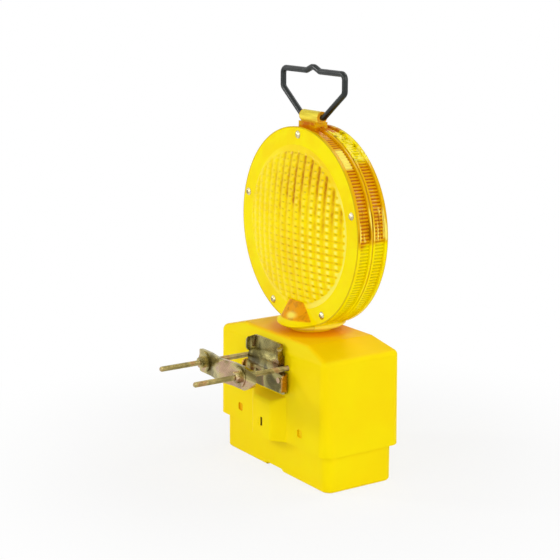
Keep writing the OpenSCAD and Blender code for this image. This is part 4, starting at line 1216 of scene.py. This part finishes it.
        # points of the outermost cells are drawn in to the rim
        shrink = np.where(inside, 1, self.optic_r / np.maximum(radius, self.cell_h))
        x, up = x * shrink, up * shrink
        base = self.dome(np.hypot(x, up))
        height = np.minimum(base + self.lift + np.where(inside, raised, 0),
                            self.cone_limit(x, up))
        layers = (height, np.minimum(base - self.sink, height - self.least_t))
        points = np.concatenate([
            np.stack([x, self.mid_y + side.value * (self.half + layer), self.centre_z + up],
                     2)[used] for layer in layers])
        count = int(used.sum())
        index = np.zeros(x.shape, int)
        index[used] = np.arange(count)
        made = mesh_object(name, points, self.skin(keep, index, count, side))
        made.data.set_sharp_from_angle(angle=math.radians(self.optic_crisp))
        for label, edge in (("column", column), ("row", row)):
            store(made, label, np.concatenate([edge[used], np.zeros(count)]))
        return made

    def build(self) -> None:
        """Builds and dresses the lens head."""
        dress(AmberLens(), "lens_front", "lens_rear", crisp=self.shell_crisp)
        optic = AmberLens("optic_amber", AmberZone.OPTIC).make()
        for name, side in (("optic_front", Side.FRONT), ("optic_rear", Side.REAR)):
            piece = self.optic(name, side)
            piece.data.materials.append(optic)
            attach(piece, "head")
            LOG.info("built %s with %d faces", name, len(piece.data.polygons))
        dress(MouldedPart("gasket_soft", srgb(232, 184, 40), srgb(206, 150, 20),
                          rough=0.45), "lens_gasket")
        dress(BrightMetal("screw_zinc", srgb(232, 222, 184), srgb(186, 168, 118),
                          rough=0.2), "lens_screws")
        dress(MouldedPart("post_black", srgb(42, 42, 42), srgb(26, 26, 26), rough=0.45),
              "swivel_post", "post_nut", "lamp_stem", "lamp_socket")
        dress(MouldedPart("washer_white", srgb(228, 228, 222), srgb(210, 210, 204),
                          rough=0.35), "neck_washer")
        socket_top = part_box("lamp_socket")[1].z
        dress(BulbGlass(base_z=socket_top + self.bulb_base_h), "bulb")


@dataclass
class Clamp:
    """The plated clamp: saddle, studs, jaw, washers and nuts."""

    stud_x: float = 30 * MM
    stud_z: float = 107 * MM
    major_r: float = 2.5 * MM
    minor_r: float = 2.12 * MM
    pitch: float = 0.8 * MM
    flank: float = 3.4
    tip: float = 1.2 * MM
    tip_drop: float = 0.45 * MM
    sides: int = 24
    rings_a_pitch: int = 5
    head_t: float = 3 * MM
    head_lap: float = 0.2 * MM
    head_bevel: float = 0.5 * MM
    head_top_share: float = 0.88
    bend: float = 2.5 * MM
    stud_crisp: float = 50

    def threaded_rod(self, x: float, y0: float, y1: float) -> tuple[np.ndarray, Faces]:
        """One threaded rod along Y, from its tip y0 to its head end y1.

        Args:
            x: The rod's place along X.
            y0: The tip.
            y1: The other end.

        Returns:
            Its points and faces.
        """
        step = self.pitch / self.rings_a_pitch
        n = int((y1 - y0) / step) + 1
        y = np.linspace(y0, y1, n)[:, None]
        turn = np.linspace(0, 2 * math.pi, self.sides, endpoint=False)[None, :]
        phase = (y / self.pitch + turn / (2 * math.pi)) % 1
        wave = np.clip(self.flank * (0.5 - np.abs(phase - 0.5)), 0, 1)
        taper = np.clip((y - y0) / self.tip, 0, 1)
        radius = self.minor_r - self.tip_drop * (1 - taper) + (
            self.major_r - self.minor_r) * wave * taper
        points = np.stack([x + radius * np.cos(turn), y + 0 * radius,
                           self.stud_z + radius * np.sin(turn)], 2).reshape(-1, 3)
        faces: Faces = []
        for i in range(n - 1):
            a, b = i * self.sides, (i + 1) * self.sides
            for j in range(self.sides):
                k = (j + 1) % self.sides
                faces.append((a + j, a + k, b + k, b + j))
        faces.append(tuple(range(self.sides))[::-1])
        faces.append(tuple((n - 1) * self.sides + j for j in range(self.sides)))
        return points, faces

    def hex_head(self, x: float, y0: float, y1: float, corner_r: float
                 ) -> tuple[np.ndarray, Faces]:
        """A six-sided head along Y with its outer corners taken off.

        Args:
            x: The head's place along X.
            y0: Its bearing face.
            y1: Its outer face.
            corner_r: Radius over its corners.

        Returns:
            Its points and faces.
        """
        n = 6
        rings = ((y0, corner_r), (y1 - self.head_bevel, corner_r),
                 (y1, corner_r * self.head_top_share))
        turn = np.radians(np.arange(n) * 360 / n)
        points = np.concatenate([
            np.stack([x + r * np.cos(turn), np.full(n, y), self.stud_z + r * np.sin(turn)], 1)
            for y, r in rings])
        faces = [(a + j, a + (j + 1) % n, a + n + (j + 1) % n, a + n + j)
                 for a in (0, n) for j in range(n)]
        faces += [tuple(range(n))[::-1], tuple(range(2 * n, 3 * n))]
        return points, faces

    def studs(self) -> bpy.types.Object:
        """Builds both studs with rolled threads, and their heads inside the hood.

        Returns:
            The two studs, as one piece.
        """
        low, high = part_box("clamp_studs")
        head_r = (high.x - low.x) / 2 - self.stud_x
        head_y = high.y - self.head_t
        points, faces, start = [], [], 0
        for x in (-self.stud_x, self.stud_x):
            for some, around in (self.threaded_rod(x, low.y, head_y + self.head_lap),
                                 self.hex_head(x, head_y, high.y, head_r)):
                points.append(some)
                faces += [tuple(k + start for k in face) for face in around]
                start += len(some)
        made = mesh_object("threaded_studs", np.concatenate(points), faces)
        made.data.set_sharp_from_angle(angle=math.radians(self.stud_crisp))
        return made

    def build(self) -> None:
        """Builds and dresses the clamp."""
        dress(PassivatedZinc(), "saddle_rivets", "stud_washers", "clamp_jaw", "jaw_washers",
              "nut_left", "nut_right")
        studs = self.studs()
        studs.data.materials.append(PassivatedZinc(
            "zinc_gold_stud", scale=45, rough=0.34, olive=srgb(150, 138, 88),
            brass=srgb(184, 168, 112), pink=srgb(176, 142, 98), dark=srgb(112, 98, 56)).make())
        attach(studs, "hood")
        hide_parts("clamp_studs")
        LOG.info("built threaded_studs with %d faces", len(studs.data.polygons))
        # the saddle's flanges past its bends are painted warm, a painted reflection of the yellow
        # case beside them
        dress(PassivatedZinc(
            "zinc_gold_saddle", scale=26, rough=0.26, olive=srgb(98, 90, 48),
            brass=srgb(170, 160, 102), pink=srgb(128, 100, 70), dark=srgb(64, 56, 30),
            reflection_from=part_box("clamp_saddle")[1].x - self.bend), "clamp_saddle")


@dataclass
class Bail:
    """The carrying handle on top of the lens."""

    crisp: float = 60

    def build(self) -> None:
        """Dresses the bail."""
        dress(HandleCoat(), "bail_handle", crisp=self.crisp)


# ---------------------------------------------------------------- studio


@dataclass(frozen=True)
class Lamp:
    """A soft box that faces the object: where it stands, its size and its watts."""

    name: str
    azimuth: float
    elevation: float
    distance: float
    size: tuple[float, float]
    power: float

    def place(self, aim: Vector) -> None:
        """Puts the lamp in the scene.

        Args:
            aim: The point that it faces.
        """
        data = bpy.data.lights.new(self.name, "AREA")
        data.shape = "RECTANGLE"
        data.size, data.size_y = self.size
        data.energy = self.power
        lamp = bpy.data.objects.new(self.name, data)
        way = bearing(self.azimuth, self.elevation)
        lamp.location = aim + way * self.distance
        lamp.rotation_euler = way.to_track_quat("Z", "Y").to_euler()
        bpy.context.scene.collection.objects.link(lamp)


@dataclass
class Studio:
    """Floor, background, lamps and camera."""

    target: tuple[float, float, float] = (-80.19 * MM, 0.0, 162.45 * MM)
    azimuth: float = 56.7816
    elevation: float = 12.6017
    distance: float = 1.46494
    sensor_mm: float = 36
    lens_mm: float = 95.81
    shift: tuple[float, float] = (0.03386, 0.00246)
    nearest: float = 50 * MM
    floor_r: float = 4.0
    floor_sides: int = 96
    paper: tuple[float, float] = (0.86, 0.88)
    paper_cloud: Grain = Grain(4)
    shadow_inner: float = 120 * MM
    shadow_outer: float = 420 * MM
    least_white: float = 0.8
    light: float = 0.62
    zenith_share: float = 0.45
    lamps_aim: tuple[float, float, float] = (0.0, 0.0, 190 * MM)
    lamps: tuple[Lamp, ...] = (
        Lamp("key", 95, 24, 1.7, (1.1, 1.1), 11),
        Lamp("front", 5, 18, 1.9, (1.2, 1.0), 8),
        Lamp("spark", -40, 24, 1.5, (0.22, 0.22), 4.5),
        Lamp("top", 172, 57, 1.6, (0.6, 0.45), 5))

    def seen(self, g: Graph) -> Socket:
        """1 for rays from the camera, reflections and clear plastic, and 0 for light.

        Args:
            g: The graph of the floor or the world.

        Returns:
            The mask.
        """
        path = g.node("LightPath").outputs
        return g.larger(g.larger(path["Is Camera Ray"], path["Is Glossy Ray"]),
                        path["Is Transmission Ray"])

    def floor(self) -> None:
        """Lays a round pale floor that keeps the shadow and fades to white."""
        turn = np.linspace(0, 2 * math.pi, self.floor_sides, endpoint=False)
        rim = np.stack([self.floor_r * np.cos(turn), self.floor_r * np.sin(turn),
                        0 * turn], 1)
        floor = mesh_object("floor", rim, [tuple(range(self.floor_sides))], smooth=False)
        g = Graph.finish("floor_paper")
        dark, light = ((tone, tone, tone) for tone in self.paper)
        paper = g.ramp(g.noise(self.paper_cloud), [(g.NOISE_LOW, dark),
                                                   (g.NOISE_HIGH, light)])
        matt = g.node("BsdfDiffuse", {"Color": paper}).outputs[0]
        white = g.node("Emission", {"Strength": 1.0}).outputs[0]
        away = g.node("VectorMath", {0: g.coords()}, operation="LENGTH").outputs["Value"]
        share = g.times(self.seen(g), g.span(away, self.shadow_inner, self.shadow_outer,
                                             self.least_white, 1))
        mixed = g.node("MixShader", {0: share, 1: matt, 2: white})
        g.feed(g.output.inputs["Surface"], mixed.outputs[0])
        floor.data.materials.append(g.owner)

    def world(self) -> None:
        """Makes the world white for the camera, and an even soft light for the object."""
        world = bpy.data.worlds.new("studio")
        bpy.context.scene.world = world
        g = Graph(world, "OutputWorld")
        # the even light thins out towards the zenith, as under a studio's side boxes
        height = g.xyz(g.node("TexCoord").outputs["Generated"])[2]
        light = g.span(height, 0.1, 0.9, self.light, self.light * self.zenith_share,
                       Ease.STRAIGHT)
        strength = g.span(self.seen(g), 0, 1, light, 1, Ease.STRAIGHT)
        sky = g.node("Background", {"Color": (1, 1, 1), "Strength": strength})
        g.feed(g.output.inputs["Surface"], sky.outputs[0])

    def camera(self) -> None:
        """Sets up the camera."""
        data = bpy.data.cameras.new("camera")
        data.sensor_width = self.sensor_mm
        data.lens = self.lens_mm
        data.shift_x, data.shift_y = self.shift
        data.clip_start = self.nearest
        camera = bpy.data.objects.new("camera", data)
        way = bearing(self.azimuth, self.elevation)
        camera.location = Vector(self.target) + way * self.distance
        camera.rotation_euler = way.to_track_quat("Z", "Y").to_euler()
        bpy.context.scene.collection.objects.link(camera)
        bpy.context.scene.camera = camera

    def build(self) -> None:
        """Sets the stage."""
        bpy.context.scene.view_settings.view_transform = "Standard"
        self.camera()
        self.floor()
        self.world()
        for lamp in self.lamps:
            lamp.place(Vector(self.lamps_aim))


def main() -> None:
    """Builds the stage and every sub-assembly."""
    logging.basicConfig(level=logging.INFO, format="%(message)s")
    for part in (Studio(), Case(), Power(), LensHead(), Clamp(), Bail()):
        LOG.info("building %s", type(part).__name__)
        part.build()


if __name__ == "__main__":
    main()
